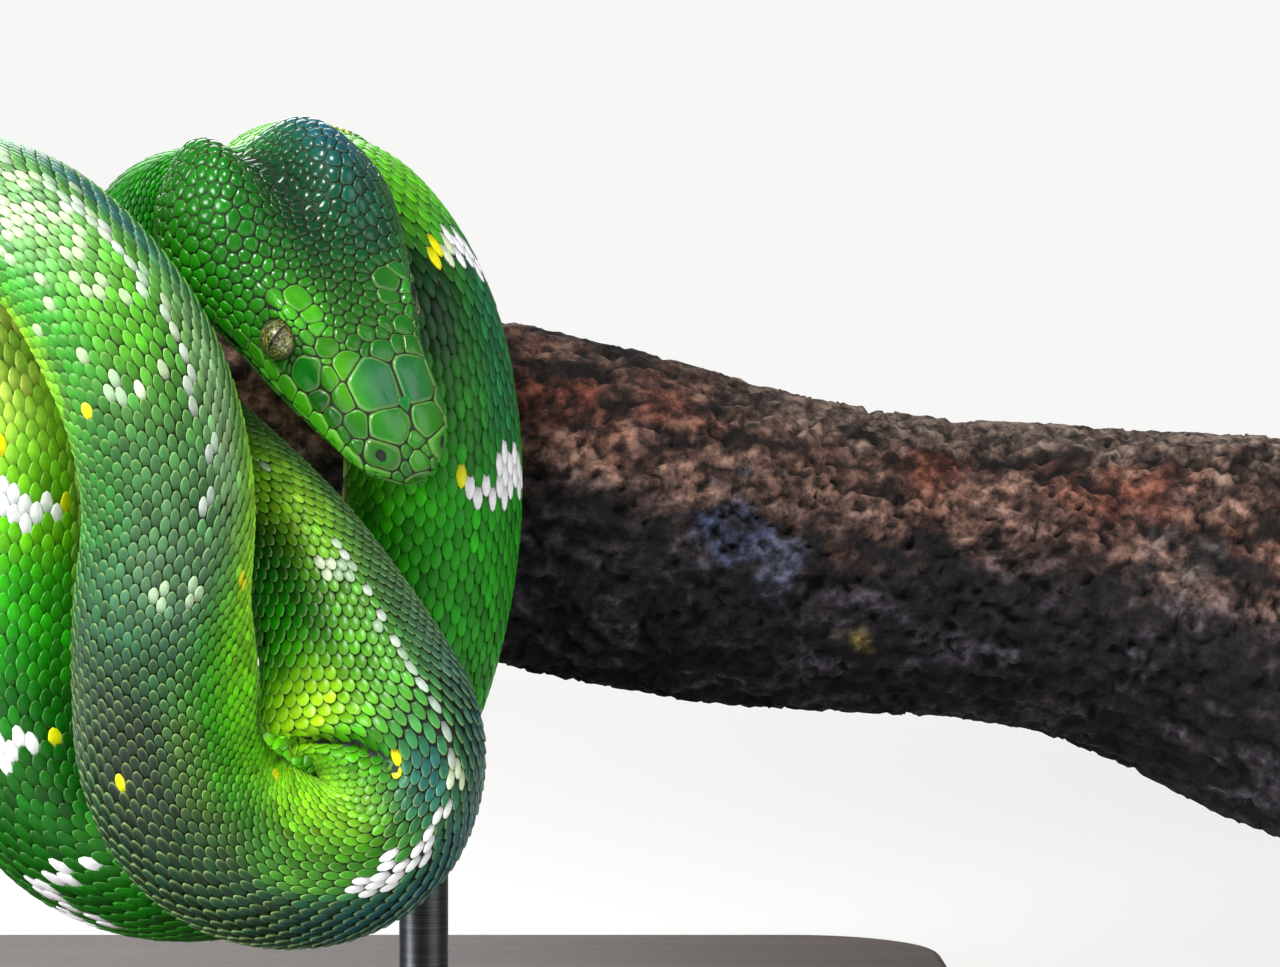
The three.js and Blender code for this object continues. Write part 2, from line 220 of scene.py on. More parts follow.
LOOP_BEHIND = [
    (-40, -53, 42, 2), (-52, -36.5, 49.5, 0), (-59.5, -11, 53, 0), (-62.5, 15, 50, 0),
    (-63, 37, 35.5, 0), (-59.5, 48.5, 11, 5), (-52, 52, -16.5, 10), (-37, 54, -41, 15),
    (-16.5, 54, -54, 20), (3.5, 52, -52, 15), (18.5, 48.5, -35.5, 10), (25, 44.5, -11, 5),
    (25, 42, 13, -5), (19.5, 30, 31.5, -20), (13, 9.5, 40, -35),
]
OUTER_RING = [
    (12.5, -13, 38.5, -50), (21, -30, 34, -62), (29.5, -39, 23.5, -74), (34, -41, 12, -80),
    (36, -42, -0.5, -82), (36, -42, -13, -82), (34, -42, -25.5, -80), (30, -41, -38, -76),
    (22, -39, -51, -62), (9, -39, -60, -48), (-6, -40, -61, -42), (-18, -41, -55, -52),
    (-24, -42, -44, -68), (-26.5, -42, -31.5, -76), (-27, -41, -16, -78),
    (-28.5, -40, -2, -76), (-32.5, -39, 9.5, -70), (-42, -38, 18.5, -60),
]
OVER_TO_THE_TAIL = [
    (-60.5, -36, 25, -45), (-76.5, -27.5, 38, -30), (-86.5, -6.5, 51.5, -15),
    (-91, 17.5, 50, -5), (-92, 37, 30, 0), (-93, 43, 4.5, 0),
]
TAIL_WINDING = [
    (-94, 35.5, -20.5, 0), (-96, 16.5, -33.5, 0), (-98.5, -5.5, -33.5, 0),
    (-101.5, -27, -22.5, 0), (-104, -37, -1, 0), (-107, -36.5, 23, 0), (-109.5, -21.5, 43, 0),
    (-112.5, 2, 49.5, 0), (-114.5, 20.5, 43, 0), (-116, 33.5, 26, 0), (-117.5, 35.5, 5.5, 0),
    (-119, 28, -11, 0),
]

# Distance from the snout, half width, top and bottom of the head about its axis.
HEAD_OUTLINE = np.array([
    (0, 0.9, 0.4, -1.2), (1.2, 4.6, 2, -2.8), (4, 7.1, 3.6, -4.1), (8.6, 8.6, 5.2, -5.2),
    (15.2, 10, 7.4, -6.8), (22.6, 11.9, 8.7, -8.4), (29, 13.6, 8.8, -9.3), (35.6, 16, 9.6, -10),
    (43, 17.7, 11.4, -10.7), (50.5, 17.4, 11, -9.6), (56, 13.6, 8.6, -7.2),
    (61, 8.8, 7.8, -6.8), (68, 7.5, 8.2, -7.6),
])
GIRTH = np.array([
    (56, 7.4), (80, 7.5), (115, 9), (160, 11.1), (225, 11.7), (285, 11.6), (300, 10.4),
    (315, 9.8), (340, 9.8), (375, 10.4), (430, 11.6), (620, 12.3), (850, 12.3), (1035, 11.6),
    (1155, 9.8), (1265, 6.6), (1360, 3.3), (1392, 1.3),
])
INNER_PAD = np.array([
    (138, 0), (144, 1.2), (150, 3.2), (155, 5.6), (160, 7.2), (165, 5.7), (170, 3.8),
    (175, 2.9), (179, 1.3), (183, 0.3), (187, 0.5), (193, 1.8), (200, 3), (208, 3.6),
    (214, 3.2), (220, 2.6), (227, 2.2), (233, 2.4), (240, 1.8), (248, 0.5), (256, 0),
])


@dataclass
class BodyShape:
    """The snake's outline, as the solids have it, at any place of its hide."""

    depth_ratio: float = 1.12
    ridge: float = 0.05
    pad_width: float = 0.6
    samples_per_span: int = 24
    table_step: float = 0.5
    lanes: int = 64
    table: dict[str, Array] = field(default_factory=dict)

    def __post_init__(self) -> None:
        """Works out the route and the tables that the other methods read."""
        self._walk_route()
        self._tabulate_frames()
        self._tabulate_outline()
        self._tabulate_lanes()

    def _walk_route(self) -> None:
        """Runs a cubic B-spline very nearly through the waypoints."""
        route = [*HEAD_AXIS, *NECK_CURL, *FRONT_HAIRPIN, *LOOP_BEHIND, *OUTER_RING,
                 *OVER_TO_THE_TAIL, *TAIL_WINDING]
        wanted = np.array(route, float)
        control = wanted.copy()
        for _ in range(2):
            average = control.copy()
            average[1:-1] = (control[:-2] + 4 * control[1:-1] + control[2:]) / 6
            control = control + wanted - average
        control = np.vstack([control[:1], control[:1], control, control[-1:], control[-1:]])
        t = (np.arange(self.samples_per_span) / self.samples_per_span)[:, None]
        spans = [
            (1 - t) ** 3 / 6 * a + (3 * t**3 - 6 * t**2 + 4) / 6 * b
            + (-3 * t**3 + 3 * t**2 + 3 * t + 1) / 6 * c + t**3 / 6 * d
            for a, b, c, d in zip(control, control[1:], control[2:], control[3:])
        ]
        samples = np.vstack([*spans, wanted[-1:]])
        steps = np.linalg.norm(np.diff(samples[:, :3], axis=0), axis=1)
        self.route = samples
        self.travelled = np.concatenate([[0.0], np.cumsum(steps)])
        self.length = float(self.travelled[-1])

    def _on_route(self, along: Array) -> Array:
        """Place and roll at each distance."""
        return np.stack([np.interp(along, self.travelled, self.route[:, k]) for k in range(4)], -1)

    def _tabulate_frames(self) -> None:
        """Middle, direction, back and left side of the body at even steps."""
        along = np.arange(0.0, self.length + self.table_step, self.table_step)
        sample = self._on_route(along)
        place, roll = sample[:, :3], np.radians(sample[:, 3:4])
        ahead = self._on_route(np.minimum(along + 0.5, self.length))[:, :3]
        behind = self._on_route(np.maximum(along - 0.5, 0.0))[:, :3]
        tangent = unit(ahead - behind)
        axis = np.array([math.cos(BRANCH_TILT), 0.0, -math.sin(BRANCH_TILT)])
        outward = place - (place @ axis)[:, None] * axis
        outward = unit(outward - np.sum(outward * tangent, 1, keepdims=True) * tangent)
        rolled = np.cos(roll) * outward + np.sin(roll) * np.cross(tangent, outward)
        skull = np.array([0.198, -0.842, 0.502])
        skull = unit(skull - (tangent @ skull)[:, None] * tangent)
        lean = (HEAD_LEAN * (1 - 0.5 * smoothstep(30, 46, along)))[:, None]
        skull = np.cos(lean) * skull + np.sin(lean) * np.cross(tangent, skull)
        share = smoothstep(HEAD_END - 6, HEAD_END + 26, along)[:, None]
        back = skull + (rolled - skull) * share
        back = unit(back - np.sum(back * tangent, 1, keepdims=True) * tangent)
        self.along = along
        self.table.update(place=place, tangent=tangent, back=back, side=np.cross(tangent, back))

    def _blended(self, rows: Array, column: int, window: float) -> Array:
        """A column of an outline, rounded off over a short window."""
        offsets = np.arange(-2, 3) * window / 2
        return np.mean([np.interp(self.along + o, rows[:, 0], rows[:, column]) for o in offsets], 0)

    def _tabulate_outline(self) -> None:
        """Girth and head sizes at the same even steps."""
        self.table["half"] = self._blended(GIRTH, 1, 6)
        self.table["pad"] = self._blended(INNER_PAD, 1, 3)
        for column, name in enumerate(("head_half", "head_top", "head_bottom"), start=1):
            self.table[name] = self._blended(HEAD_OUTLINE, column, 2.4)

    def read(self, name: str, along: Array | float) -> Array:
        """A tabulated value at any distance."""
        rows = self.table[name]
        x = np.clip(np.asarray(along, float) / self.table_step, 0, len(rows) - 1.001)
        low = x.astype(int)
        share = x - low
        if rows.ndim > 1:
            share = share[..., None]
        return rows[low] * (1 - share) + rows[low + 1] * share

    def section(self, along: Array, angle: Array) -> tuple[Array, Array]:
        """Place in the cross-section: towards the left side, and towards the back.

        Args:
            along: distance from the snout.
            angle: radians round the section, 0 on the back and positive to the left.

        Returns:
            The two offsets from the body's middle.
        """
        c, s = np.cos(angle), np.sin(angle)
        half = self.read("half", along)
        deep = half * self.depth_ratio
        pad = self.read("pad", along) * bell(angle, math.pi / 2, self.pad_width)
        aside = half * s * (1 - 0.1 * c - 0.03 * np.cos(2 * angle)) + pad
        from_back = np.abs(np.arctan2(s, c))
        belly = deep * c * (1 - 0.1 * (1 - np.abs(s)))
        above = np.where(c > 0, deep * c, belly) + self.ridge * deep * bell(from_back, 0, 0.3)
        half, top, bottom = (self.read(n, along) for n in ("head_half", "head_top", "head_bottom"))
        head_aside = half * np.sign(s) * np.abs(s) ** 0.8
        rise = np.abs(c) ** 0.8
        lobes = bell(along, 47.5, 8)
        dome = np.where(s > 0, 3.1, 4.6) * bell(np.abs(head_aside), 9.2, 4.6)
        groove = 4.0 * bell(head_aside, 0, 4.0)
        brow = bell(along, 26, 5) * bell(from_back, np.where(s > 0, 0.9, 0.7), 0.22)
        head_above = np.where(c > 0, top * rise + lobes * (dome - groove) * rise, bottom * rise)
        head_above = head_above + 0.9 * brow
        head_aside = head_aside + brow * np.where(s > 0, 1.0, -0.4)
        share = smoothstep(HEAD_END, HEAD_END + 10, along)
        return head_aside + share * (aside - head_aside), head_above + share * (above - head_above)

    def outline_point(self, along: Array, angle: Array) -> Array:
        """A point of the body's outline."""
        aside, above = self.section(along, angle)
        return (self.read("place", along) + self.read("side", along) * aside[..., None]
                + self.read("back", along) * above[..., None])

    def outward(self, along: Array, angle: Array) -> Array:
        """The direction straight out of the hide."""
        reach = 0.6
        before = np.maximum(along - reach, 0.0)
        after = np.minimum(along + reach, self.length)
        down = self.outline_point(after, angle) - self.outline_point(before, angle)
        turn = 0.04
        around = self.outline_point(along, angle + turn) - self.outline_point(along, angle - turn)
        return unit(np.cross(around, down))

    def _tabulate_lanes(self) -> None:
        """Girth from the ridge to the belly, and the angle at each share of it, on both sides."""
        self.lane_along = np.arange(0.0, self.length, 1.0)
        self.lane_angle, self.lane_girth = {}, {}
        sweep = np.linspace(0.0, math.pi, 121)
        shares = np.linspace(0.0, 1.0, self.lanes + 1)
        grid_along = np.repeat(self.lane_along[:, None], len(sweep), 1)
        for sign in (1, -1):
            angle = np.tile(sign * sweep, (len(grid_along), 1))
            aside, above = self.section(grid_along, angle)
            step = np.hypot(np.diff(aside, axis=1), np.diff(above, axis=1))
            length = np.concatenate([np.zeros((len(step), 1)), np.cumsum(step, 1)], 1)
            self.lane_girth[sign] = length[:, -1]
            self.lane_angle[sign] = np.array(
                [np.interp(shares * row[-1], row, sweep) for row in length])

    def angle_at(self, along: Array, across: Array) -> Array:
        """The section angle at a share of the half girth."""
        x = np.clip(along, 0, len(self.lane_along) - 1.001)
        y = np.clip(np.abs(across), 0, 0.99999) * self.lanes
        i, j = x.astype(int), y.astype(int)
        p, q = x - i, y - j
        result = np.zeros_like(x)
        for sign in (1, -1):
            rows = self.lane_angle[sign]
            angle = ((1 - p) * ((1 - q) * rows[i, j] + q * rows[i, j + 1])
                     + p * ((1 - q) * rows[i + 1, j] + q * rows[i + 1, j + 1]))
            result = np.where((across >= 0) == (sign > 0), sign * angle, result)
        return result

    def girth_at(self, along: Array | float, across: Array | float) -> Array:
        """Half the girth on this side of the body."""
        left = np.interp(along, self.lane_along, self.lane_girth[1])
        right = np.interp(along, self.lane_along, self.lane_girth[-1])
        return np.where(across >= 0, left, right)

    def hide_point(self, along: Array, across: Array, height: Array) -> Array:
        """A point over the hide.

        Args:
            along: distance from the snout.
            across: share of the half girth, signed.
            height: distance out of the solids' outline, negative inside it.

        Returns:
            Millimetres about the branch's axis.
        """
        angle = self.angle_at(along, across)
        return (self.outline_point(along, angle)
                + self.outward(along, angle) * np.asarray(height)[..., None])

    def stretch(self, along: Array, across: Array) -> Array:
        """How much longer the hide is here than the body's middle."""
        angle = self.angle_at(along, across)
        reach = 1.5
        step = self.outline_point(along + reach, angle) - self.outline_point(along - reach, angle)
        return np.linalg.norm(step, axis=-1) / (2 * reach)


def bake_place(along: Array, across: Array, strip_at: Array | None = None) -> Array:
    """Where a place of the hide lies on the unwrapped hide, folded into four strips.

    Args:
        along: distance from the snout.
        across: share of the half girth, signed.
        strip_at: the distance that picks the strip, where it isn't along itself.

    Returns:
        Pairs between 0 and 1.
    """
    strips = 4
    strip_length = (BODY_END + 5.0) / strips
    chosen = along if strip_at is None else strip_at
    strip = np.clip((chosen / strip_length).astype(int), 0, strips - 1)
    u = 0.02 + 0.95 * (along - strip * strip_length) / strip_length
    v = (strip + 0.5 + 0.45 * across) / strips
    return np.stack([u, v], -1)


# ---- colours of the hide


@dataclass(frozen=True)
class HideColours:
    """Colours of the animal, as they look. Sunlit and citron are lit greens for painted sunlight, and
    reflected_sky paints the sky's reflection on the head.
    """

    leaf: str = "#1e9a06"
    lime: str = "#62c40a"
    sunlit: str = "#98dc20"
    deep: str = "#085a0c"
    night: str = "#08301a"
    teal: str = "#156048"
    slate: str = "#4d6b52"
    charcoal: str = "#1d2a24"
    navy: str = "#15506e"
    cream: str = "#d5e2bf"
    white: str = "#f4f4f8"
    yellow: str = "#e9e400"
    belly: str = "#c9d67a"
    crown: str = "#084a12"
    snout: str = "#0c6a26"
    lip: str = "#48ac16"
    brow: str = "#4fbc1e"
    reflected_sky: str = "#0f4a40"
    acid: str = "#a4e214"
    citron: str = "#ccf262"
    mist: str = "#9fbc98"
    olive: str = "#4a6a1e"


HIDE = HideColours()


@dataclass(frozen=True)
class Patch:
    """A soft-edged patch of colour on the hide."""

    along: float
    across: float
    length: float
    width: float
    colour: str
    strength: float = 1.0


# Soft patches, from the neck to the tail. Lengths are millimetres, widths shares of half the girth.
# Sunlit patches are painted light, and the notes among them mark the other painted light, shade and
# reflection.
PATCHES = tuple(Patch(*row) for row in (
    (11, 0.04, 7, 0.26, HIDE.snout, 0.9), (12, -0.08, 2.6, 0.1, HIDE.teal, 0.55),
    (11.5, 0.16, 2.6, 0.1, HIDE.teal, 0.7), (4, 0, 3, 0.4, HIDE.lip, 0.3),
    (16, -0.52, 14, 0.1, HIDE.lip, 0.95), (16, 0.52, 14, 0.1, HIDE.lip, 0.95),
    # The head's left side is its shadow side: brow and lime there are weaker, as painted shade.
    (26, -0.225, 4.6, 0.075, HIDE.brow, 0.95), (26, 0.225, 4.6, 0.075, HIDE.brow, 0.35),
    (14, -0.22, 5, 0.08, HIDE.lime, 0.6), (13, 0.26, 5, 0.08, HIDE.lime, 0.35),
    # Deep at (20, 0.24) is painted shade on the head's left side.
    (20, 0.24, 5, 0.1, HIDE.deep, 0.7), (17.5, -0.38, 6.5, 0.08, HIDE.deep, 0.95),
    # Night at (44, -0.03) is painted shade in the groove between the lobes.
    (17.5, 0.38, 6.5, 0.08, HIDE.deep, 0.95), (44, -0.03, 15, 0.07, HIDE.night, 0.85),
    # reflected_sky and navy on the left lobe are a painted reflection of the sky on its shaded side.
    (46, 0.24, 13, 0.15, HIDE.reflected_sky, 0.85), (50, 0.26, 5, 0.08, HIDE.navy, 0.8),
    (40, -0.3, 10, 0.16, HIDE.leaf, 0.3), (35, -0.5, 10, 0.12, HIDE.leaf, 0.6),
    # Deep at (36, 0.44) is painted shade on the head's left side.
    (36, 0.44, 10, 0.14, HIDE.deep, 0.8), (72, 0, 12, 0.7, HIDE.leaf, 0.7),
    (105, 0, 22, 0.5, HIDE.night, 0.8), (136, 0.36, 18, 0.24, HIDE.night, 0.7),
    # Sunlit at 133 and 146 is painted highlight on the top of the limb.
    (133, 0, 9, 0.14, HIDE.sunlit, 0.85), (146, 0.06, 6, 0.08, HIDE.sunlit, 0.7),
    (150, 0.08, 5, 0.14, HIDE.charcoal, 0.7), (152, 0.42, 14, 0.16, HIDE.leaf, 0.85),
    (162, 0.38, 6, 0.17, HIDE.acid, 1), (164, 0.56, 8, 0.1, HIDE.acid, 1),
    # Citron at 184 is painted sunlight, and leaf at (171, 0.3) is painted shadow below the fold.
    (184, 0.62, 9, 0.14, HIDE.citron, 1), (171, 0.3, 4, 0.1, HIDE.leaf, 0.8),
    (160, 0.08, 16, 0.1, HIDE.lime, 0.5), (160, -0.3, 30, 0.24, HIDE.slate, 0.75),
    (185, -0.45, 26, 0.2, HIDE.night, 0.85), (176, 0.1, 6, 0.1, HIDE.navy, 0.8),
    (188, -0.3, 22, 0.22, HIDE.navy, 0.8), (192, 0.2, 10, 0.12, HIDE.night, 0.7),
    (198, 0, 12, 0.05, HIDE.lime, 0.5), (192, 0.13, 12, 0.1, HIDE.deep, 0.9),
    # Sunlit at 200 is painted light.
    (200, 0.42, 20, 0.22, HIDE.sunlit, 0.9), (214, 0.46, 11, 0.15, HIDE.acid, 1),
    (212, 0.1, 8, 0.16, HIDE.charcoal, 0.8), (216, -0.2, 14, 0.26, HIDE.charcoal, 0.85),
    (231, -0.26, 12, 0.18, HIDE.charcoal, 0.6), (243, -0.04, 5, 0.12, HIDE.charcoal, 0.75),
    (224, -0.02, 12, 0.12, HIDE.olive, 0.85), (214, -0.5, 30, 0.24, HIDE.night, 0.8),
    (247, 0.02, 8, 0.14, HIDE.teal, 0.5), (234, 0.14, 22, 0.12, HIDE.leaf, 0.85),
    (234, 0.36, 30, 0.2, HIDE.lime, 0.9), (240, -0.36, 22, 0.22, HIDE.teal, 0.6),
    (226, -0.3, 15, 0.2, HIDE.charcoal, 1), (205, -0.22, 12, 0.16, HIDE.night, 0.8),
    (231, -0.57, 16, 0.16, HIDE.night, 0.95), (252, -0.1, 7, 0.2, HIDE.slate, 0.65),
    # Sunlit at 264 is painted light where the head shades the limb.
    (264, 0.36, 20, 0.16, HIDE.sunlit, 1), (266, -0.2, 13, 0.2, HIDE.slate, 0.5),
    (262, -0.42, 9, 0.12, HIDE.deep, 0.7), (284, 0.25, 20, 0.07, HIDE.teal, 0.8),
    # Mist at 272 is painted light where the head shades the limb.
    (272, 0.1, 13, 0.09, HIDE.mist, 0.55), (276, -0.2, 5, 0.16, HIDE.charcoal, 0.5),
    (290, -0.14, 15, 0.2, HIDE.lime, 0.55), (296, -0.38, 12, 0.12, HIDE.leaf, 0.7),
    # Sunlit at (290, -0.64) is painted light on the limb's edge.
    (290, -0.64, 12, 0.1, HIDE.sunlit, 0.7), (303, 0.16, 14, 0.06, HIDE.navy, 0.9),
    # Mist at 306 is partly pale scales, partly painted sheen.
    (306, -0.14, 14, 0.2, HIDE.mist, 0.4), (330, 0.2, 20, 0.3, HIDE.leaf, 0.7),
    (735, 0.1, 28, 0.5, HIDE.lime, 0.8), (757, 0.06, 9, 0.12, HIDE.teal, 0.8),
    # Night at (759, 0.38) is the head's painted shadow on this coil.
    (768, 0.3, 16, 0.4, HIDE.deep, 0.7), (759, 0.38, 9, 0.16, HIDE.night, 0.9),
    (770, 0.1, 14, 0.1, HIDE.teal, 0.6), (800, 0.4, 20, 0.5, HIDE.leaf, 0.8),
    (868, 0.5, 20, 0.5, HIDE.deep, 0.75), (905, 0.7, 16, 0.3, HIDE.leaf, 0.7),
    # Acid and citron at 940 and 948 are painted sunlight on the top of the coil.
    (940, 0.66, 24, 0.4, HIDE.acid, 1), (948, 0.62, 17, 0.3, HIDE.citron, 1),
    (924, 0.56, 7, 0.3, HIDE.leaf, 0.6), (905, 0.6, 12, 0.4, HIDE.leaf, 0.9),
    (885, 0.5, 16, 0.5, HIDE.deep, 0.95),
))


@dataclass(frozen=True)
class Fleck:
    """One scale, or a few together, of another colour."""

    along: float
    across: float
    colour: str
    reach: float = 1.3


# The pale and yellow scales of the sides that show at the front.
FRONT_FLECKS = tuple(Fleck(*row) for row in (
    (65.8, -0.08, HIDE.yellow, 1), (276, -0.42, HIDE.yellow, 1.3), (251, 0.24, HIDE.yellow, 1.2),
    (208.5, 0.34, HIDE.yellow, 1.4), (173.8, 0.2, HIDE.yellow, 1.3), (223, -0.3, HIDE.yellow, 1.1),
    (251, -0.02, HIDE.mist, 1.6), (250, -0.14, HIDE.mist, 1.4), (276, -0.28, HIDE.mist, 1.8),
    (275, -0.2, HIDE.cream, 1), (145, 0.1, HIDE.cream, 1.2), (147, 0.04, HIDE.mist, 1.8),
    (190, -0.04, HIDE.white, 2.2), (186.5, 0.02, HIDE.white, 1.9), (182.8, -0.02, HIDE.white, 1.9),
    (188, -0.03, HIDE.white, 1.6), (178.2, -0.02, HIDE.white, 1.3), (174.5, -0.03, HIDE.cream, 1.3),
    (700.2, 0.08, HIDE.yellow, 1.5), (752.8, 0.1, HIDE.white, 2.6), (754.4, 0.03, HIDE.white, 1.9),
    (753.2, 0.2, HIDE.cream, 1.3), (753.5, 0.26, HIDE.yellow, 1.3), (780.5, 0.07, HIDE.white, 3.2),
    (783, 0.13, HIDE.white, 2), (783.5, 0.2, HIDE.white, 1.8), (783.5, 0.26, HIDE.white, 1.8),
    (782, 0.33, HIDE.yellow, 1.3), (872, 0.24, HIDE.white, 1.8), (870.5, 0.38, HIDE.white, 1.6),
    (868.4, 0.46, HIDE.white, 1.7), (870.3, 0.2, HIDE.white, 2), (871.5, 0.31, HIDE.white, 1.4),
    (865.4, 0.16, HIDE.white, 1.7), (867.4, 0.08, HIDE.white, 2.2), (887.8, 0.48, HIDE.white, 2.2),
    (887.8, 0.58, HIDE.white, 1.9), (887.8, 0.66, HIDE.yellow, 1.2), (923.5, 0.5, HIDE.white, 2.6),
    (921, 0.56, HIDE.white, 2.4), (920.6, 0.63, HIDE.white, 2), (921.4, 0.69, HIDE.white, 1.7),
    (922.2, 0.76, HIDE.yellow, 1.2), (930, 0.48, HIDE.yellow, 1.2),
))


class Markings:
    """The colour of the hide at any place, the same for skin and scales, painted light and shade
    included.
    """

    def __init__(self, seed: int = 11) -> None:
        """Scatters the marks of the stretches that the front doesn't show.

        Args:
            seed: fixes the scatter.
        """
        self.random = np.random.default_rng(seed)
        self.flecks = [*FRONT_FLECKS, *self._scattered_marks()]

    def _scattered_marks(self) -> list[Fleck]:
        """Short white bars that end in a yellow scale, at uneven steps along the trunk."""
        marks: list[Fleck] = []
        for along in np.arange(352.0, 1290.0, 41.0):
            along += self.random.uniform(-9, 9)
            if 690 < along < 945:
                continue
            side = self.random.choice((-1, 1))
            across = self.random.uniform(0.03, 0.2)
            for step in range(self.random.integers(2, 5)):
                place = side * (across + 0.075 * step)
                along += self.random.uniform(-1.2, 1.2)
                reach = self.random.uniform(1.5, 2.3) * (1.0 if along < 1150 else 0.7)
                marks.append(Fleck(along, place, HIDE.white, reach))
            marks.append(Fleck(along, side * (across + 0.075 * (step + 1.1)), HIDE.yellow, 1.2))
        return marks

    @staticmethod
    def _waves(along: Array, across: Array, length: float, phase: float) -> Array:
        """A wandering value between -1 and 1, for slow changes of colour."""
        a, c = along / length, across * 3.1
        return (np.sin(a + 1.7 * np.sin(c + phase) + phase) * np.cos(0.6 * a - c + 2 * phase)
                + 0.6 * np.sin(2.3 * a + 2.1 * c + 3 * phase)) / 1.6

    def base(self, along: Array, across: Array) -> Array:
        """Ground colour with its soft patches.

        Args:
            along: distance from the snout.
            across: share of the half girth, signed.

        Returns:
            Scene-linear colours, one row for each place.
        """
        side = np.abs(across)
        front = smoothstep(105, 135, along) * (1 - smoothstep(300, 360, along))
        colour = towards(
            np.repeat(linear(HIDE.leaf)[None], len(along), 0),
            (HIDE.deep, 0.55 * bell(side, 0.0, 0.28)),
            (HIDE.lime, 0.75 * smoothstep(0.3, 0.62, side)),
            (HIDE.crown, 1 - smoothstep(48, 64, along)),
            (HIDE.lime, 0.35 * self._waves(along, across, 38.0, 0.4)),
            (HIDE.deep, 0.45 * self._waves(along, across, 23.0, 2.1)),
            (HIDE.deep, 0.7 * front * (1 - smoothstep(0.1, 0.5, across))))
        for patch in PATCHES:
            share = bell(along, patch.along, patch.length) * bell(across, patch.across, patch.width)
            colour = towards(colour, (patch.colour, patch.strength * np.minimum(1.4 * share, 1)))
        inner = bell(along, 212, 46) + bell(along, 831, 12) + bell(along, 579, 12)
        return towards(colour,
                       (HIDE.belly, smoothstep(0.76, 0.92, side) * smoothstep(6, 14, along)),
                       (HIDE.lime, 1.3 * inner * smoothstep(0.6, 0.8, side)))

    def tint(self, along: Array, across: Array, girth: Array) -> Array:
        """Colour of each scale: the ground, its own small difference, and the flecks.

        Args:
            along: distance from the snout.
            across: share of the half girth, signed.
            girth: half the girth there, millimetres.

        Returns:
            Scene-linear colours, one row for each scale.
        """
        count = len(along)
        colour = self.base(along, across)
        colour *= np.exp(self.random.normal(0, 0.2, (count, 1)))
        colour *= np.exp(self.random.normal(0, 0.05, (count, 3)))
        aside = np.abs(across * girth)
        chance = 0.9 * bell(along, 286, 32) + 0.65 * bell(along, 160, 26)
        chance = chance * np.where(aside < 0.75, 1.0, np.where(aside < 1.7, 0.16, 0.0))
        pale = colour + self.random.uniform(0.25, 0.62, (count, 1)) * (linear(HIDE.white) - colour)
        colour = np.where((self.random.random(count) < chance)[:, None], pale, colour)
        # Scales paled to cream on the ridge at along 308: partly pale scales, partly painted sheen.
        pale_and_sheen_chance = 0.6 * bell(along, 308, 20) * bell(across, -0.14, 0.2)
        mist = colour + 0.55 * (linear(HIDE.cream) - colour)
        colour = np.where((self.random.random(count) < pale_and_sheen_chance)[:, None], mist, colour)
        for fleck in self.flecks:
            gap = np.hypot(along - fleck.along, (across - fleck.across) * girth)
            colour = np.where((gap < fleck.reach)[:, None], linear(fleck.colour), colour)
        return np.clip(colour, 0.004, 0.95)


# ---- node trees


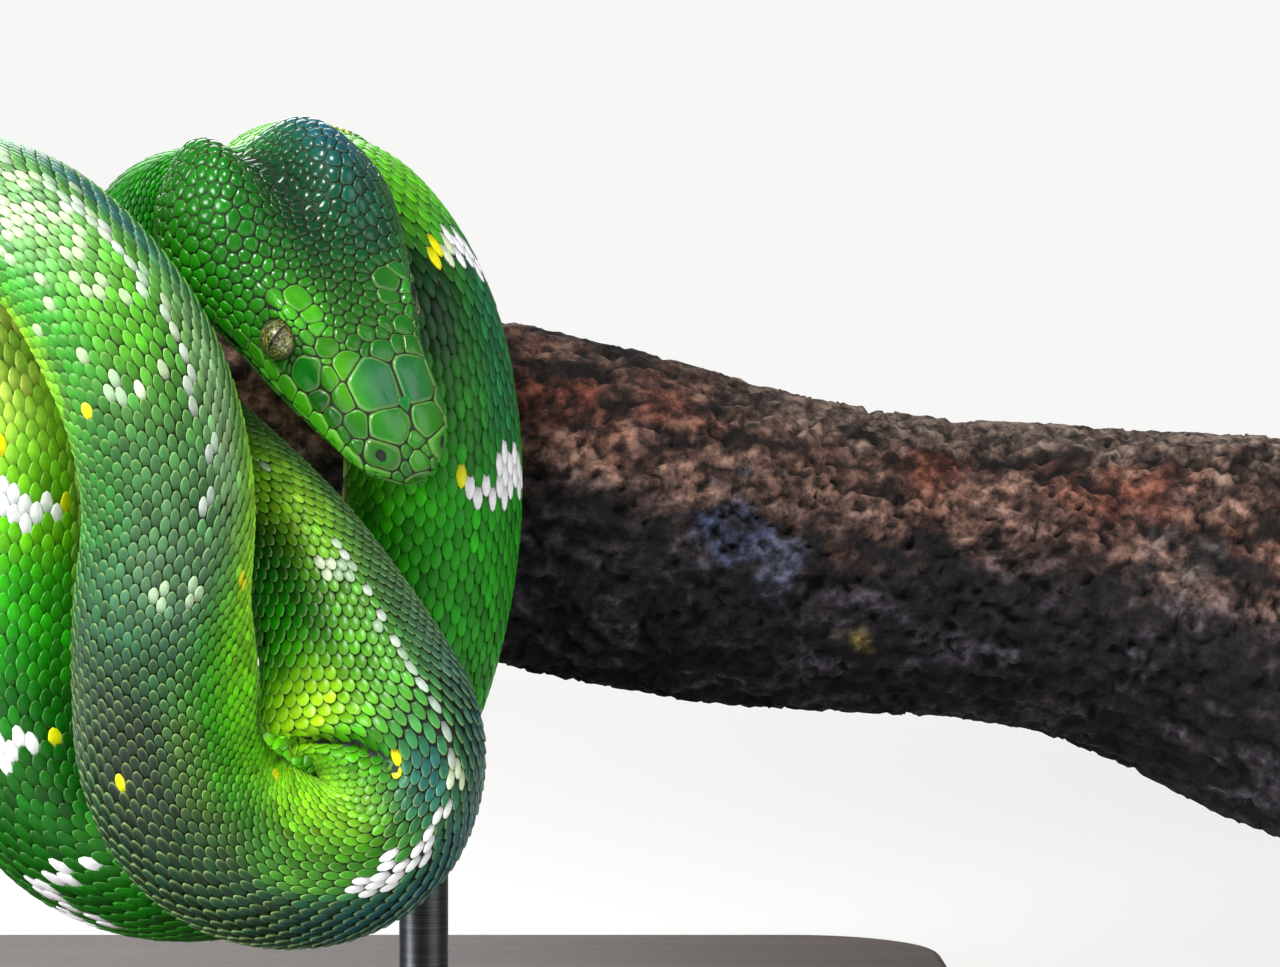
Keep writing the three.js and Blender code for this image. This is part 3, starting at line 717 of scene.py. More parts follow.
class Bench:
    """A node tree, with short ways to add, feed and join its nodes."""

    def __init__(self, tree: Tree) -> None:
        """Takes the tree that is built."""
        self.tree = tree

    def join(self, term: object, socket: Socket) -> None:
        """Links a socket, or sets a plain value."""
        if isinstance(term, Socket):
            self.tree.links.new(term, socket)
        else:
            socket.default_value = term

    def feed(self, node: Node, **values: object) -> Node:
        """Gives a node its inputs, by their names with _ for a space."""
        for name, value in values.items():
            self.join(value, next(socket for socket in node.inputs if socket.enabled
                                  and socket.name.replace(" ", "_") == name))
        return node

    def add(self, kind: str, settings: dict | None = None, **values: object) -> Node:
        """Adds a node.

        Args:
            kind: the node's type.
            settings: the node's own properties.
            values: its inputs, as feed takes them.

        Returns:
            The node.
        """
        node = self.tree.nodes.new(kind)
        for name, value in (settings or {}).items():
            setattr(node, name, value)
        return self.feed(node, **values)

    def math(self, operation: str, *terms: object) -> Socket:
        """A Math node's result. Each term is a number or a socket."""
        node = self.add("ShaderNodeMath", {"operation": operation})
        for term, socket in zip(terms, node.inputs):
            self.join(term, socket)
        return node.outputs[0]

    def clamped(self, value: Socket) -> Socket:
        """A value kept between 0 and 1."""
        return self.math("MINIMUM", self.math("MAXIMUM", value, 0.0), 1.0)

    def mix(self, factor: object, first: object, second: object, how: str = "MIX") -> Socket:
        """Two colours mixed, the factor being the share of the second."""
        settings = {"data_type": "RGBA", "blend_type": how, "clamp_factor": True}
        node = self.add("ShaderNodeMix", settings)
        for term, index in ((factor, 0), (first, 6), (second, 7)):
            self.join(term, node.inputs[index])
        return node.outputs[2]

    def ramp(self, factor: Socket, *stops: tuple[float, str]) -> Socket:
        """A colour ramp, from the place and the #rrggbb of each stop."""
        node = self.add("ShaderNodeValToRGB", Fac=factor)
        elements = node.color_ramp.elements
        while len(elements) < len(stops):
            elements.new(0.5)
        for element, (place, colour) in zip(elements, stops):
            element.position, element.color = place, rgba(colour)
        return node.outputs["Color"]

    def attribute(self, name: str, output: str = "Fac") -> Socket:
        """What the mesh keeps under a name."""
        return self.add("ShaderNodeAttribute", {"attribute_name": name}).outputs[output]

    def place(self, scale: tuple | None = None) -> Socket:
        """The piece's own coordinates, stretched where a scale is given."""
        place = self.add("ShaderNodeTexCoord").outputs["Object"]
        if scale is None:
            return place
        return self.add("ShaderNodeMapping", Vector=place, Scale=scale).outputs[0]

    def noise(self, place: Socket, **values: float) -> Socket:
        """A noise texture's value."""
        return self.add("ShaderNodeTexNoise", Vector=place, **values).outputs["Fac"]

    def grain(self, scale: float, depth: float) -> bpy.types.NodeOutputs:
        """The mask and the normal of the shared fine grain."""
        node = self.add("ShaderNodeGroup", {"node_tree": grain_group()})
        return self.feed(node, Place=self.place(), Scale=scale, Depth=depth).outputs

    def finish(self, shader: Socket, over: Socket, share: Socket, end: str) -> None:
        """Mixes two shaders into the tree's output."""
        mix = self.add("ShaderNodeMixShader")
        for term, socket in zip((share, shader, over), mix.inputs):
            self.join(term, socket)
        self.join(mix.outputs[0], self.tree.nodes[end].inputs["Surface"])


def new_material(name: str) -> tuple[Material, Bench, Node]:
    """A node material, its bench and its Principled BSDF."""
    material = bpy.data.materials.new(name)
    material.use_nodes = True
    return material, Bench(material.node_tree), material.node_tree.nodes["Principled BSDF"]


def new_group(name: str, kind: str, takes: dict, gives: dict) -> tuple[Bench, Node, Node]:
    """A node group.

    Args:
        name: its name.
        kind: the tree's type.
        takes: the type of each named input.
        gives: the type of each named output.

    Returns:
        Its bench, and the nodes at which its inputs come in and its outputs leave.
    """
    tree = bpy.data.node_groups.new(name, kind)
    for sockets, direction in ((takes, "INPUT"), (gives, "OUTPUT")):
        for label, socket in sockets.items():
            tree.interface.new_socket(label, in_out=direction, socket_type=f"NodeSocket{socket}")
    return Bench(tree), tree.nodes.new("NodeGroupInput"), tree.nodes.new("NodeGroupOutput")


def grain_group() -> Tree:
    """The fine unevenness that hide, bark and wood share: a mask and a bumped normal."""
    existing = bpy.data.node_groups.get("fine_grain")
    if existing:
        return existing
    bench, entry, leave = new_group(
        "fine_grain", "ShaderNodeTree", {"Place": "Vector", "Scale": "Float", "Depth": "Float"},
        {"Mask": "Float", "Normal": "Vector"})
    noise = bench.noise(entry.outputs["Place"], Scale=entry.outputs["Scale"], Detail=4.0,
                        Roughness=0.6)
    bump = bench.add("ShaderNodeBump", Strength=1.0, Distance=entry.outputs["Depth"],
                     Height=noise)
    bench.feed(leave, Mask=noise, Normal=bump.outputs["Normal"])
    return bench.tree


# ---- finishes


@dataclass(frozen=True)
class ScaleFinish:
    """Smooth satin scales with a paler rim, darker towards their root. The rim is partly the scales'
    own lime edge, partly painted highlight that grows towards the tip, and the darker root is painted
    shade where it lies under the scales before it.
    """

    name: str = "green_scales"
    roughness: float = 0.32
    root_shade: float = 0.62
    coat: float = 0.1
    specular: float = 0.18

    def material(self) -> Material:
        """Builds the material from the tint, rim and tip of each scale."""
        material, bench, shader = new_material(self.name)
        tint = bench.attribute("tint", "Color")
        rim, tip, edge = (bench.attribute(name) for name in ("rim", "tip", "edge"))
        grain = bench.grain(1500.0, 0.00003)
        # The pale rim: partly the scales' own lime edge, partly painted highlight, stronger towards the
        # tip.
        lighter = bench.mix(0.36, tint, rgba("#c4ec8c"))
        edge = bench.math("MULTIPLY", bench.math("POWER", rim, 2.2), edge)
        edge = bench.math("MULTIPLY", edge, bench.math("MULTIPLY_ADD", tip, 0.8, 0.2))
        colour = bench.mix(edge, tint, lighter)
        # root_shade: painted shade over the root of each scale, where it lies under the scales before
        # it.
        shade = bench.math("MULTIPLY_ADD", bench.math("SMOOTH_MIN", tip, 0.5, 0.2),
                           2 * self.root_shade, 1 - self.root_shade)
        speck = bench.math("MULTIPLY_ADD", grain["Mask"], 0.5, 0.75)
        shade = bench.math("MULTIPLY", shade, speck)
        shade = bench.add("ShaderNodeCombineColor", Red=shade, Green=shade, Blue=shade)
        colour = bench.mix(1.0, colour, shade.outputs[0], "MULTIPLY")
        rough = bench.math("MULTIPLY_ADD", grain["Mask"], 0.16, self.roughness - 0.08)
        bench.feed(shader, Base_Color=colour, Roughness=rough, Normal=grain["Normal"],
                   Specular_IOR_Level=self.specular, Coat_Weight=self.coat, Coat_Roughness=0.2)
        return material


@dataclass(frozen=True)
class SkinFinish:
    """The soft dark skin that shows between the scales: its own dark green-black, taken nearly to black
    as painted shade in the gaps.
    """

    name: str = "skin_between_scales"
    darkness: float = 0.07

    def material(self) -> Material:
        """Builds the material from the hide's own markings."""
        material, bench, shader = new_material(self.name)
        grain = bench.grain(900.0, 0.00008)
        # Most of the tint goes to near black: partly the skin's dark colour, partly painted shade in
        # the gaps.
        dark = bench.mix(1.0 - self.darkness, bench.attribute("tint", "Color"), rgba("#04140a"))
        colour = bench.mix(grain["Mask"], dark, rgba("#020a05"))
        bench.feed(shader, Base_Color=colour, Normal=grain["Normal"], Roughness=0.6)
        return material


# ---- the skin


def wrapped(across: Array) -> Array:
    """The same places round the body, between -1 and 1."""
    return np.mod(np.asarray(across, float) + 1.0, 2.0) - 1.0


@dataclass
class HideRelief:
    """What the hide adds to the plain outline: the head's own form, and the hairpin's fold."""

    body: BodyShape
    eye_from_snout: float = 24.9
    eye_aside: tuple = (10.1, 8.7)  # on the right, on the left
    eye_above: float = 4.1
    mouth_heights: tuple = ((0, -0.7), (2, -1.6), (7, -2.9), (30, -3.2), (38, -3.6))
    mouth_end: float = 37.5

    def __post_init__(self) -> None:
        """Finds the mouth line and the places over the eyes."""
        table = np.array(self.mouth_heights, float)
        self.mouth_along = np.arange(0.5, self.mouth_end, 0.5)
        shares = np.linspace(0.3, 0.95, 131)
        grid = np.repeat(self.mouth_along[:, None], len(shares), 1)
        angle = self.body.angle_at(grid.ravel(), np.tile(shares, len(grid)))
        above = self.body.section(grid.ravel(), angle)[1].reshape(grid.shape)
        wanted = np.interp(self.mouth_along, table[:, 0], table[:, 1])[:, None]
        self.mouth_across = shares[np.argmin(np.abs(above - wanted), 1)]
        along, across = (g.ravel() for g in np.meshgrid(np.linspace(22, 28, 61),
                                                        np.linspace(0.2, 0.6, 161)))
        gaps = self.body.hide_point(along, -across, np.zeros(len(along))) - self.eye_centre(-1)
        nearest = int(np.argmin(np.linalg.norm(gaps, axis=1)))
        self.eye_along, self.eye_across = float(along[nearest]), float(across[nearest])

    def eye_centre(self, side: int) -> Array:
        """Middle of an eyeball, 1 for the left and -1 for the right."""
        place, left, back = (self.body.read(name, self.eye_from_snout)
                             for name in ("place", "side", "back"))
        return place + left * side * self.eye_aside[side > 0] + back * self.eye_above

    def mouth_at(self, along: Array | float) -> Array:
        """Share of the half girth at which the lips meet."""
        return np.interp(along, self.mouth_along, self.mouth_across)

    def height(self, along: Array, across: Array) -> Array:
        """Millimetres that the skin of the head stands out or sinks in."""
        side = np.abs(across)
        girth = self.body.girth_at(along, across)
        brow = bell(along, 25.5, 4.4) * bell(side, self.eye_across - 0.108, 0.034)
        brow = brow * np.where(across < 0, 1.25, 0.8)
        canthus = bell(along, 15.0, 6.5) * bell(side, 0.235, 0.05)
        loreal = bell(along, 17.0, 4.5) * bell(side, 0.37, 0.06)
        snout = bell(along, 10.0, 5.0) * bell(side, 0.12, 0.09)
        seam = bell(along, 10.0, 6.0) * bell(side, 0.03, 0.035)
        gape = (along < self.mouth_end) * bell((side - self.mouth_at(along)) * girth, 0, 0.55)
        lip_tip = 1 - 0.7 * (1 - smoothstep(2.0, 6.0, along))
        return (brow + 0.35 * canthus - 0.85 * loreal + 0.25 * snout - 0.3 * seam
                - 0.8 * gape * lip_tip + self.crease(along, across))

    @staticmethod
    def crease(along: Array, across: Array) -> Array:
        """Millimetres of the fold that runs from the slit of the hairpin on to its bend."""
        gap = along - (165.0 + 33.0 * (0.48 - across))
        there = smoothstep(0.14, 0.28, across) * (1 - smoothstep(0.56, 0.7, across))
        return there * (0.7 * bell(np.abs(gap), 4.4, 2.2) - 2.7 * bell(gap, 0.0, 1.7))


@dataclass
class SnakeSkin:
    """One skin from the lips to the tip of the tail, just inside the solids' outline."""

    body: BodyShape
    relief: HideRelief
    markings: Markings
    depth: float = 0.45
    head_step: float = 0.7
    body_step: float = 2.2
    sides: int = 64

    def build(self) -> Piece:
        """Makes the skin.

        Returns:
            The closed tube, with its markings and its bake map.
        """
        along = np.concatenate([np.arange(0.3, HEAD_END + 4, self.head_step),
                                np.arange(HEAD_END + 5, BODY_END - 1, self.body_step), [BODY_END]])
        across = np.linspace(-1.0, 1.0, self.sides, endpoint=False)
        flat_along = np.repeat(along, self.sides)
        flat_across = np.tile(across, len(along))
        height = self.relief.height(flat_along, flat_across) - self.depth
        height *= np.clip(self.body.read("half", flat_along) / 3.0, 0.3, 1.0)
        points = self.body.hide_point(flat_along, flat_across, height)
        rows = points.reshape(len(along), self.sides, 3)
        ends = np.array([rows[0].mean(0), rows[-1].mean(0) + 0.3 * (rows[-1] - rows[-2]).mean(0)])
        faces = closed_tube(len(along), self.sides)
        skin = mesh_object("snake_skin", to_world(np.vstack([points, ends])), faces)
        colour = self.markings.base(flat_along, flat_across)
        store(skin.data, "tint", np.vstack([colour, colour[:1], colour[-1:]]))
        all_along = np.concatenate([flat_along, [0.0, BODY_END + 1]])
        all_across = np.concatenate([flat_across, [0.0, 0.0]])
        self._unwrap(skin.data, all_along, all_across)
        skin.data.materials.append(SkinFinish().material())
        return skin

    def _unwrap(self, mesh: Mesh, along: Array, across: Array) -> None:
        """Lays every face on the unwrapped hide, in its own strip and on its own side."""
        corner = read_all(mesh.loops, "vertex_index", kind=np.int32)
        sizes = read_all(mesh.polygons, "loop_total", kind=np.int32)
        face = np.repeat(np.arange(len(sizes)), sizes)
        corner_along, corner_across = along[corner], across[corner]
        high = np.zeros(len(sizes))
        np.maximum.at(high, face, corner_across)
        corner_across = np.where((high[face] > 0.5) & (corner_across < -0.9), 1.0, corner_across)
        low = np.full(len(sizes), 1e9)
        np.minimum.at(low, face, corner_along)
        bake_map(mesh, bake_place(corner_along, corner_across, low[face] + 1e-6))


# ---- the scale coat


class ScaleKind(Enum):
    """The forms that the scales of the body have."""

    BULLET = "bullet"
    ROUNDED = "rounded"


SCALE_OUTLINES = {
    ScaleKind.BULLET: ((0.0, 0.3), (0.34, 0.5), (0.7, 0.47), (0.95, 0.22)),
    ScaleKind.ROUNDED: ((0.0, 0.2), (0.3, 0.48), (0.62, 0.49), (0.9, 0.28)),
}


def form_patch(x: Array, y: Array, part: str) -> Array:
    """A form's places on its own small patch: its top, its skirt and its underside apart.

    Args:
        x: 0 at the root and 1 at the tip, or the way round for the skirt.
        y: -0.5 to 0.5 across, or 0 to 1 up the skirt.
        part: "top", "skirt" or "under".

    Returns:
        Pairs between -0.5 and 0.5.
    """
    if part == "top":
        return np.stack([x - 0.5, 0.62 * y + 0.19], -1)
    if part == "skirt":
        return np.stack([x - 0.5, -0.15 - 0.12 * (1 - y)], -1)
    return np.stack([x - 0.5, 0.2 * y - 0.39], -1)


def skirt_patch(count: int) -> Array:
    """The places of a skirt's quads, each from its foot up to the rim."""
    way = (np.arange(count)[:, None] + np.array([0, 1, 1, 0])) / count
    return form_patch(way, np.tile([0.0, 0.0, 1.0, 1.0], (count, 1)), "skirt")


def plate_faces(plan: Array, rings: int, count: int) -> tuple[list, Array]:
    """The faces of a closed plate that rises ring by ring from its underside.

    Args:
        plan: the place of every point on the plate's own patch, the middle last.
        rings: how many rings, of which the first two hold the skirt.
        count: points in a ring.

    Returns:
        The faces, and a pair on the patch for each of their corners.
    """
    under = tuple(range(count))[::-1]
    quads = tube_faces(rings, count)
    low = (rings - 1) * count
    fan = [(low + j, low + k, low + count) for j, k in around(count)]
    tops = [np.array(quads[count:]).reshape(-1), np.array(fan).reshape(-1)]
    patches = [form_patch(*plan[list(under)].T, "under"), skirt_patch(count).reshape(-1, 2),
               *(form_patch(*plan[top].T, "top") for top in tops)]
    return [under, *quads, *fan], np.vstack(patches)


@dataclass
class ScaleForm:
    """A single raised scale, a unit long and wide: a closed form of about fifty triangles."""

    kind: ScaleKind
    rim_height: float = 0.72
    shoulder: float = 0.78
    shoulder_height: float = 0.97

    def build(self) -> Piece:
        """Makes the form, with its rim, tip and patch, outside the scene."""
        half = SCALE_OUTLINES[self.kind]
        edge = np.array([*((x, -w) for x, w in half), (1.0, 0.0), *reversed(half)])
        count, middle = len(edge), np.array([0.52, 0.0])
        inner = middle + self.shoulder * (edge - middle)
        flat = np.vstack([edge, edge, inner, middle[None]])
        heights = np.repeat([0.0, self.rim_height, self.shoulder_height, 1.0], [count] * 3 + [1])
        rim = np.repeat([1.0, 0.4, 0.0], [2 * count, count, 1])
        faces, patches = plate_faces(flat, 3, count)
        points = np.column_stack([flat, heights])
        return finished_form(f"form_{self.kind.value}", points, faces, patches, rim)


@dataclass
class BellyPlateForm:
    """A wide plate that wraps the belly, a unit long and wide."""

    columns: int = 12
    rim_height: float = 0.55

    def build(self) -> Piece:
        """Makes the form as two grids joined by a skirt, outside the scene."""
        xs = np.array([0.0, 0.45, 0.85, 1.0])
        ys = np.linspace(-0.5, 0.5, self.columns + 1)
        x, y = (g.ravel() for g in np.meshgrid(xs, ys, indexing="ij"))
        bow = x * (1 - 0.25 * np.abs(2 * y) ** 3)
        border = (x < 0.01) | (x > 0.99) | (np.abs(y) > 0.499)
        top = np.column_stack([bow, y, np.where(border, self.rim_height, 1.0)])
        points = np.vstack([top, np.column_stack([bow, y, np.zeros_like(x)])])
        count, wide = len(x), self.columns + 1
        quads = grid_quads(len(xs), wide)
        index = np.arange(count).reshape(len(xs), wide)
        ring = np.concatenate([index[0], index[1:, -1], index[-1, -2::-1], index[-2:0:-1, 0]])
        ahead = np.roll(ring, -1)
        faces = np.vstack([quads, count + quads[:, ::-1],
                           np.column_stack([ring, ahead, count + ahead, count + ring])])
        patches = np.vstack([form_patch(x[quads], y[quads], "top"),
                             form_patch(x[quads[:, ::-1]], y[quads[:, ::-1]], "under"),
                             skirt_patch(len(ring))[:, ::-1]])
        rim = np.tile(border.astype(float), 2)
        return finished_form("form_belly_plate", points, faces.tolist(), patches.reshape(-1, 2), rim)


def finished_form(name: str, points: Array, faces: list, patch: Array, rim: Array) -> Piece:
    """A form with the values that the coat's finish and its bake map need.

    Args:
        name: the form's name.
        points: its vertices.
        faces: its faces.
        patch: a pair for each face corner.
        rim: 1 at the edge and 0 in the middle, for each vertex.

    Returns:
        The form, which isn't in the scene.
    """
    form = mesh_object(name, points, faces)
    mesh = form.data
    store(mesh, "rim", rim)
    store(mesh, "tip", points[:, 0])
    flat = np.column_stack([patch, np.zeros(len(patch))]).astype(np.float32)
    mesh.attributes.new("patch", "FLOAT_VECTOR", "CORNER").data.foreach_set("vector", flat.ravel())
    bpy.context.scene.collection.objects.unlink(form)
    return form


def coat_tree() -> Tree:
    """The tree that sets a scale on every root, turned and sized by the root's own values."""
    existing = bpy.data.node_groups.get("lay_scales")
    if existing:
        return existing
    bench, entry, leave = new_group(
        "lay_scales", "GeometryNodeTree",
        {"Roots": "Geometry", "Scale form": "Object", "Thickness": "Float", "Finish": "Material"},
        {"Coat": "Geometry"})
    takes = entry.outputs
    form = bench.add("GeometryNodeObjectInfo", Object=takes["Scale form"])
    lean, size = (bench.add("GeometryNodeInputNamedAttribute", {"data_type": "FLOAT_VECTOR"},
                            Name=name).outputs["Attribute"] for name in ("lean", "size"))
    turn = bench.add("FunctionNodeEulerToRotation")
    bench.join(lean, turn.inputs[0])
    high = bench.add("ShaderNodeCombineXYZ", X=1.0, Y=1.0, Z=takes["Thickness"])
    sized = bench.add("ShaderNodeVectorMath", {"operation": "MULTIPLY"})
    bench.join(size, sized.inputs[0])
    bench.join(high.outputs[0], sized.inputs[1])
    lay = bench.add("GeometryNodeInstanceOnPoints", Points=takes["Roots"],
                    Instance=form.outputs["Geometry"], Rotation=turn.outputs[0],
                    Scale=sized.outputs["Vector"])
    real = bench.add("GeometryNodeRealizeInstances", Geometry=lay.outputs["Instances"])
    dress = bench.add("GeometryNodeSetMaterial", Geometry=real.outputs["Geometry"],
                      Material=takes["Finish"])
    bench.feed(leave, Coat=dress.outputs["Geometry"])
    return bench.tree


def run_tree(piece: Piece, tree: Tree, values: dict) -> Mesh:
    """Runs a Geometry Nodes tree on a piece.

    Args:
        piece: the object that the tree starts from.
        tree: the tree.
        values: what each named input takes.

    Returns:
        The plain mesh that comes out. The modifier is gone.
    """
    modifier = piece.modifiers.new(tree.name, "NODES")
    modifier.node_group = tree
    for item in tree.interface.items_tree:
        if item.item_type == "SOCKET" and item.in_out == "INPUT" and item.name in values:
            modifier[item.identifier] = values[item.name]
    depsgraph = bpy.context.evaluated_depsgraph_get()
    mesh = bpy.data.meshes.new_from_object(piece.evaluated_get(depsgraph))
    piece.modifiers.remove(modifier)
    return mesh


@dataclass
class Roots:
    """Where a number of scales grow, and what each is like."""

    along: Array
    across: Array
    length: Array
    width: Array
    lift: Array
    # How strongly the pale rim shows: partly the scale's own edge, partly painted highlight.
    edge: Array
    tint: Array

    def part(self, keep: Array) -> "Roots":
        """The roots that a mask or an index keeps."""
        return Roots(*(getattr(self, name)[keep] for name in self.__dataclass_fields__))


@dataclass
class ScaleCoat:
    """The scales of neck, trunk and tail, in rows that run the length of the snake."""

    body: BodyShape
    relief: HideRelief
    markings: Markings
    start: float = 54.8
    rows: int = 22
    row_growth: float = 0.7
    belly_share: float = 0.17
    overlap: float = 1.24
    thickness: float = 0.34
    root_depth: float = 0.64
    plan_width: float = 40.0
    patch_size: float = 0.003
    seed: int = 5
    pitches: tuple = ((50, 1.5), (75, 1.9), (115, 2.1), (315, 2.25), (430, 2.7), (620, 2.9),
                      (900, 2.9), (1035, 2.6), (1155, 2.3), (1265, 1.7), (1360, 1.1), (1384, 0.8))
    # A pair of neighbouring rows, and the length over which it is there.
    short_rows: tuple = ((14, 150, 1185), (11, 370, 1120), (17, 0, 1230), (8, 0, 1265),
                         (19, 0, 1330), (4, 0, 1350))
    plate_pitch: float = 4.85
    tail_plate_pitch: float = 2.6
    vent: float = 1165.0
    most: int = 3600  # scales in a piece

    def __post_init__(self) -> None:
        """Starts the random draws and works out the scales' stations."""
        self.random = np.random.default_rng(self.seed)
        self.fine = np.arange(self.start, BODY_END, 0.25)
        self.station = np.cumsum(0.25 / self._pitch(self.fine))

    def _pitch(self, along: Array) -> Array:
        """The distance from scale to scale in a row."""
        return np.interp(along, *np.transpose(self.pitches))

    def _row_places(self, along: Array) -> tuple[Array, Array, Array]:
        """Centre, width and presence of every row, as shares of the half girth."""
        presence = np.ones((len(along), self.rows + 1))
        for first, begin, end in self.short_rows:
            there = smoothstep(begin - 6, begin + 6, along) if begin else np.ones_like(along)
            there = there * (1 - smoothstep(end - 6, end + 6, along))
            presence[:, first] = presence[:, first + 1] = there
        cell = presence * (1 + self.row_growth * np.arange(self.rows + 1) / self.rows)
        cell[:, 0] *= 0.5
        edge = np.cumsum(cell, 1)
        share = (1 - self.belly_share) / edge[:, -1:]
        centre = (edge - cell / 2) * share
        centre[:, 0] = 0.0
        cell[:, 0] *= 2
        return centre, cell * share, presence

    def row_roots(self) -> Roots:
        """The roots of all rows on the back and the sides."""
        parts = []
        last = int(self.station[-1])
        for row in range(-self.rows, self.rows + 1):
            steps = np.arange(1, last) + (0.5 if row % 2 else 0.0)
            along = np.interp(steps, self.station, self.fine)
            centre, width, presence = self._row_places(along)
            number = abs(row)
            keep = presence[:, number] > 0.35
            parts.append((along[keep], np.sign(row) * centre[keep, number],
                          width[keep, number], np.full(keep.sum(), number)))
        along, across, share, number = (np.concatenate(c) for c in zip(*parts))
        return self._sized(along, across, share, number)

    def _sized(self, along: Array, across: Array, share: Array, number: Array) -> Roots:
        """Gives the scales of the rows their size, lift and colour."""
        count = len(along)
        girth = self.body.girth_at(along, across)
        pitch = self._pitch(along)
        stretch = np.maximum(self.body.stretch(along, across), 0.3)
        front = smoothstep(95, 125, along) * (1 - smoothstep(320, 360, along))
        length = (self.overlap - 0.1 * front) * pitch * np.clip(stretch, 0.5, 1.25) / stretch
        length *= self.random.uniform(0.94, 1.06, count)
        flank = smoothstep(2, 14, number)
        width = share * girth * (1.06 + 0.03 * front + (0.2 - 0.14 * front) * flank)
        width *= self.random.uniform(0.95, 1.05, count)
        lift = (0.24 + 0.2 * front * (1 - 0.6 * smoothstep(10, 20, number)))
        lift = lift * np.clip(self.body.read("half", along) / 9.0, 0.3, 1.0)
        # Rims show more on the front coil, partly as painted highlight.
        edge = 0.12 + 0.62 * front * (1 - smoothstep(0.5, 0.8, np.abs(across)))
        edge = edge * self.random.uniform(0.6, 1.3, count)
        tint = self.markings.tint(along, across, girth)
        along = along - 0.5 * length + self.random.normal(0, 0.04, count) * pitch
        return Roots(along, across, length, width, lift, edge, tint)

    def belly_roots(self) -> Roots:
        """The roots of the wide plates under the trunk."""
        along = np.arange(self.start + 2, self.vent, self.plate_pitch)
        stretch = self.body.stretch(along, np.ones_like(along) * 0.999)
        girth = self.body.girth_at(along, np.ones_like(along))
        length = self.overlap * self.plate_pitch * np.clip(stretch, 0.5, 1.2) / stretch
        width = 2 * girth * self.belly_share * 1.04
        tint = self.markings.tint(along, np.full_like(along, 0.99), girth)
        steady = np.ones_like(along)
        return Roots(along - length / 2, steady, length, width, 0.3 * steady, 0.2 * steady, tint)

    def tail_roots(self) -> Roots:
        """The roots of the paired plates under the tail."""
        along = np.arange(self.vent + 2, BODY_END - 3, self.tail_plate_pitch)
        along = np.concatenate([along, along])
        count = len(along) // 2
        across = np.concatenate([np.full(count, 0.92), np.full(count, -0.92)])
        girth = self.body.girth_at(along, across)
        length = np.full(len(along), self.overlap * self.tail_plate_pitch)
        width = girth * self.belly_share * 1.05
        tint = self.markings.tint(along, across, girth)
        steady = np.clip(self.body.read("half", along) / 9.0, 0.3, 1.0)
        return Roots(along - length / 2, across, length, width, 0.25 * steady, 0.2 * steady, tint)

    def lay(self, name: str, roots: Roots, form: Piece, finish: Material) -> Piece:
        """Grows one piece of the coat.

        Args:
            name: the piece's name.
            roots: where its scales grow.
            form: what each scale looks like.
            finish: the coat's material.

        Returns:
            The piece, mapped on to the body.
        """
        count = len(roots.along)
        girth = self.body.girth_at(roots.along, wrapped(roots.across))
        thin = np.clip(self.body.read("half", roots.along) / 7.0, 0.35, 1.0)
        plan = np.column_stack([roots.along, -roots.across * self.plan_width,
                                -self.root_depth * thin])
        plan_width = roots.width / girth * self.plan_width
        lean = np.column_stack([self.random.normal(0, 0.03, count),
                                -np.arcsin(np.clip(roots.lift / roots.length, 0, 0.6)),
                                self.random.normal(0, 0.02, count)])
        base = mesh_object(f"{name}_roots", plan, [])
        store(base.data, "size", np.column_stack([roots.length, plan_width, thin]))
        store(base.data, "lean", lean)
        store(base.data, "tint", roots.tint)
        store(base.data, "edge", roots.edge)
        place = bake_place(roots.along + roots.length / 2, wrapped(roots.across) * 0.9999)
        store(base.data, "root", np.column_stack([place, np.zeros(count)]))
        mesh = run_tree(base, coat_tree(), {
            "Scale form": form, "Thickness": self.thickness, "Finish": finish})
        bpy.data.objects.remove(base)
        flat = read_all(mesh.vertices, "co", 3).astype(float)
        along = np.clip(flat[:, 0], 0.2, self.body.length - 0.2)
        across = wrapped(-flat[:, 1] / self.plan_width)
        height = flat[:, 2] + self.relief.crease(along, across)
        points = self.body.hide_point(along, across, height)
        mesh.vertices.foreach_set("co", to_world(points).astype(np.float32).ravel())
        patch, root = (read_all(mesh.attributes[name].data, "vector", 3)[:, :2]
                       for name in ("patch", "root"))
        corner = read_all(mesh.loops, "vertex_index", kind=np.int32)
        bake_map(mesh, root[corner] + patch * self.patch_size)
        for spare in ("size", "lean", "root", "patch", "material_index"):
            if spare in mesh.attributes:
                mesh.attributes.remove(mesh.attributes[spare])
        mesh.materials.clear()
        mesh.materials.append(finish)
        mesh.polygons.foreach_set("use_smooth", np.ones(len(mesh.polygons), bool))
        mesh.update()
        piece = bpy.data.objects.new(name, mesh)
        bpy.context.scene.collection.objects.link(piece)
        return piece

    def build(self) -> list[Piece]:
        """Grows the whole coat behind the head.

        Returns:
            Its pieces.
        """
        finish = ScaleFinish().material()
        forms = {kind: ScaleForm(kind).build() for kind in ScaleKind}
        rows = self.row_roots()
        pieces = []
        front = (rows.along < 330) & (np.abs(rows.across) < 0.5)
        for kind, keep in ((ScaleKind.BULLET, front), (ScaleKind.ROUNDED, ~front)):
            index = np.nonzero(keep)[0]
            index = index[np.argsort(rows.along[index], kind="stable")]
            shares = np.array_split(index, math.ceil(len(index) / self.most))
            for number, share in enumerate(shares, start=1):
                name = f"scales_{kind.value}_{number}"
                pieces.append(self.lay(name, rows.part(share), forms[kind], finish))
        plate = BellyPlateForm().build()
        pieces.append(self.lay("scales_belly_plates", self.belly_roots(), plate, finish))
        pair = forms[ScaleKind.ROUNDED]
        pieces.append(self.lay("scales_under_tail", self.tail_roots(), pair, finish))
        return pieces


# ---- the head


@dataclass(frozen=True)
class HeadPlate:
    """A named scale of the head: its place, its reach in millimetres, and what it carries."""

    along: float
    across: float
    reach: float
    pit: float = 0.0


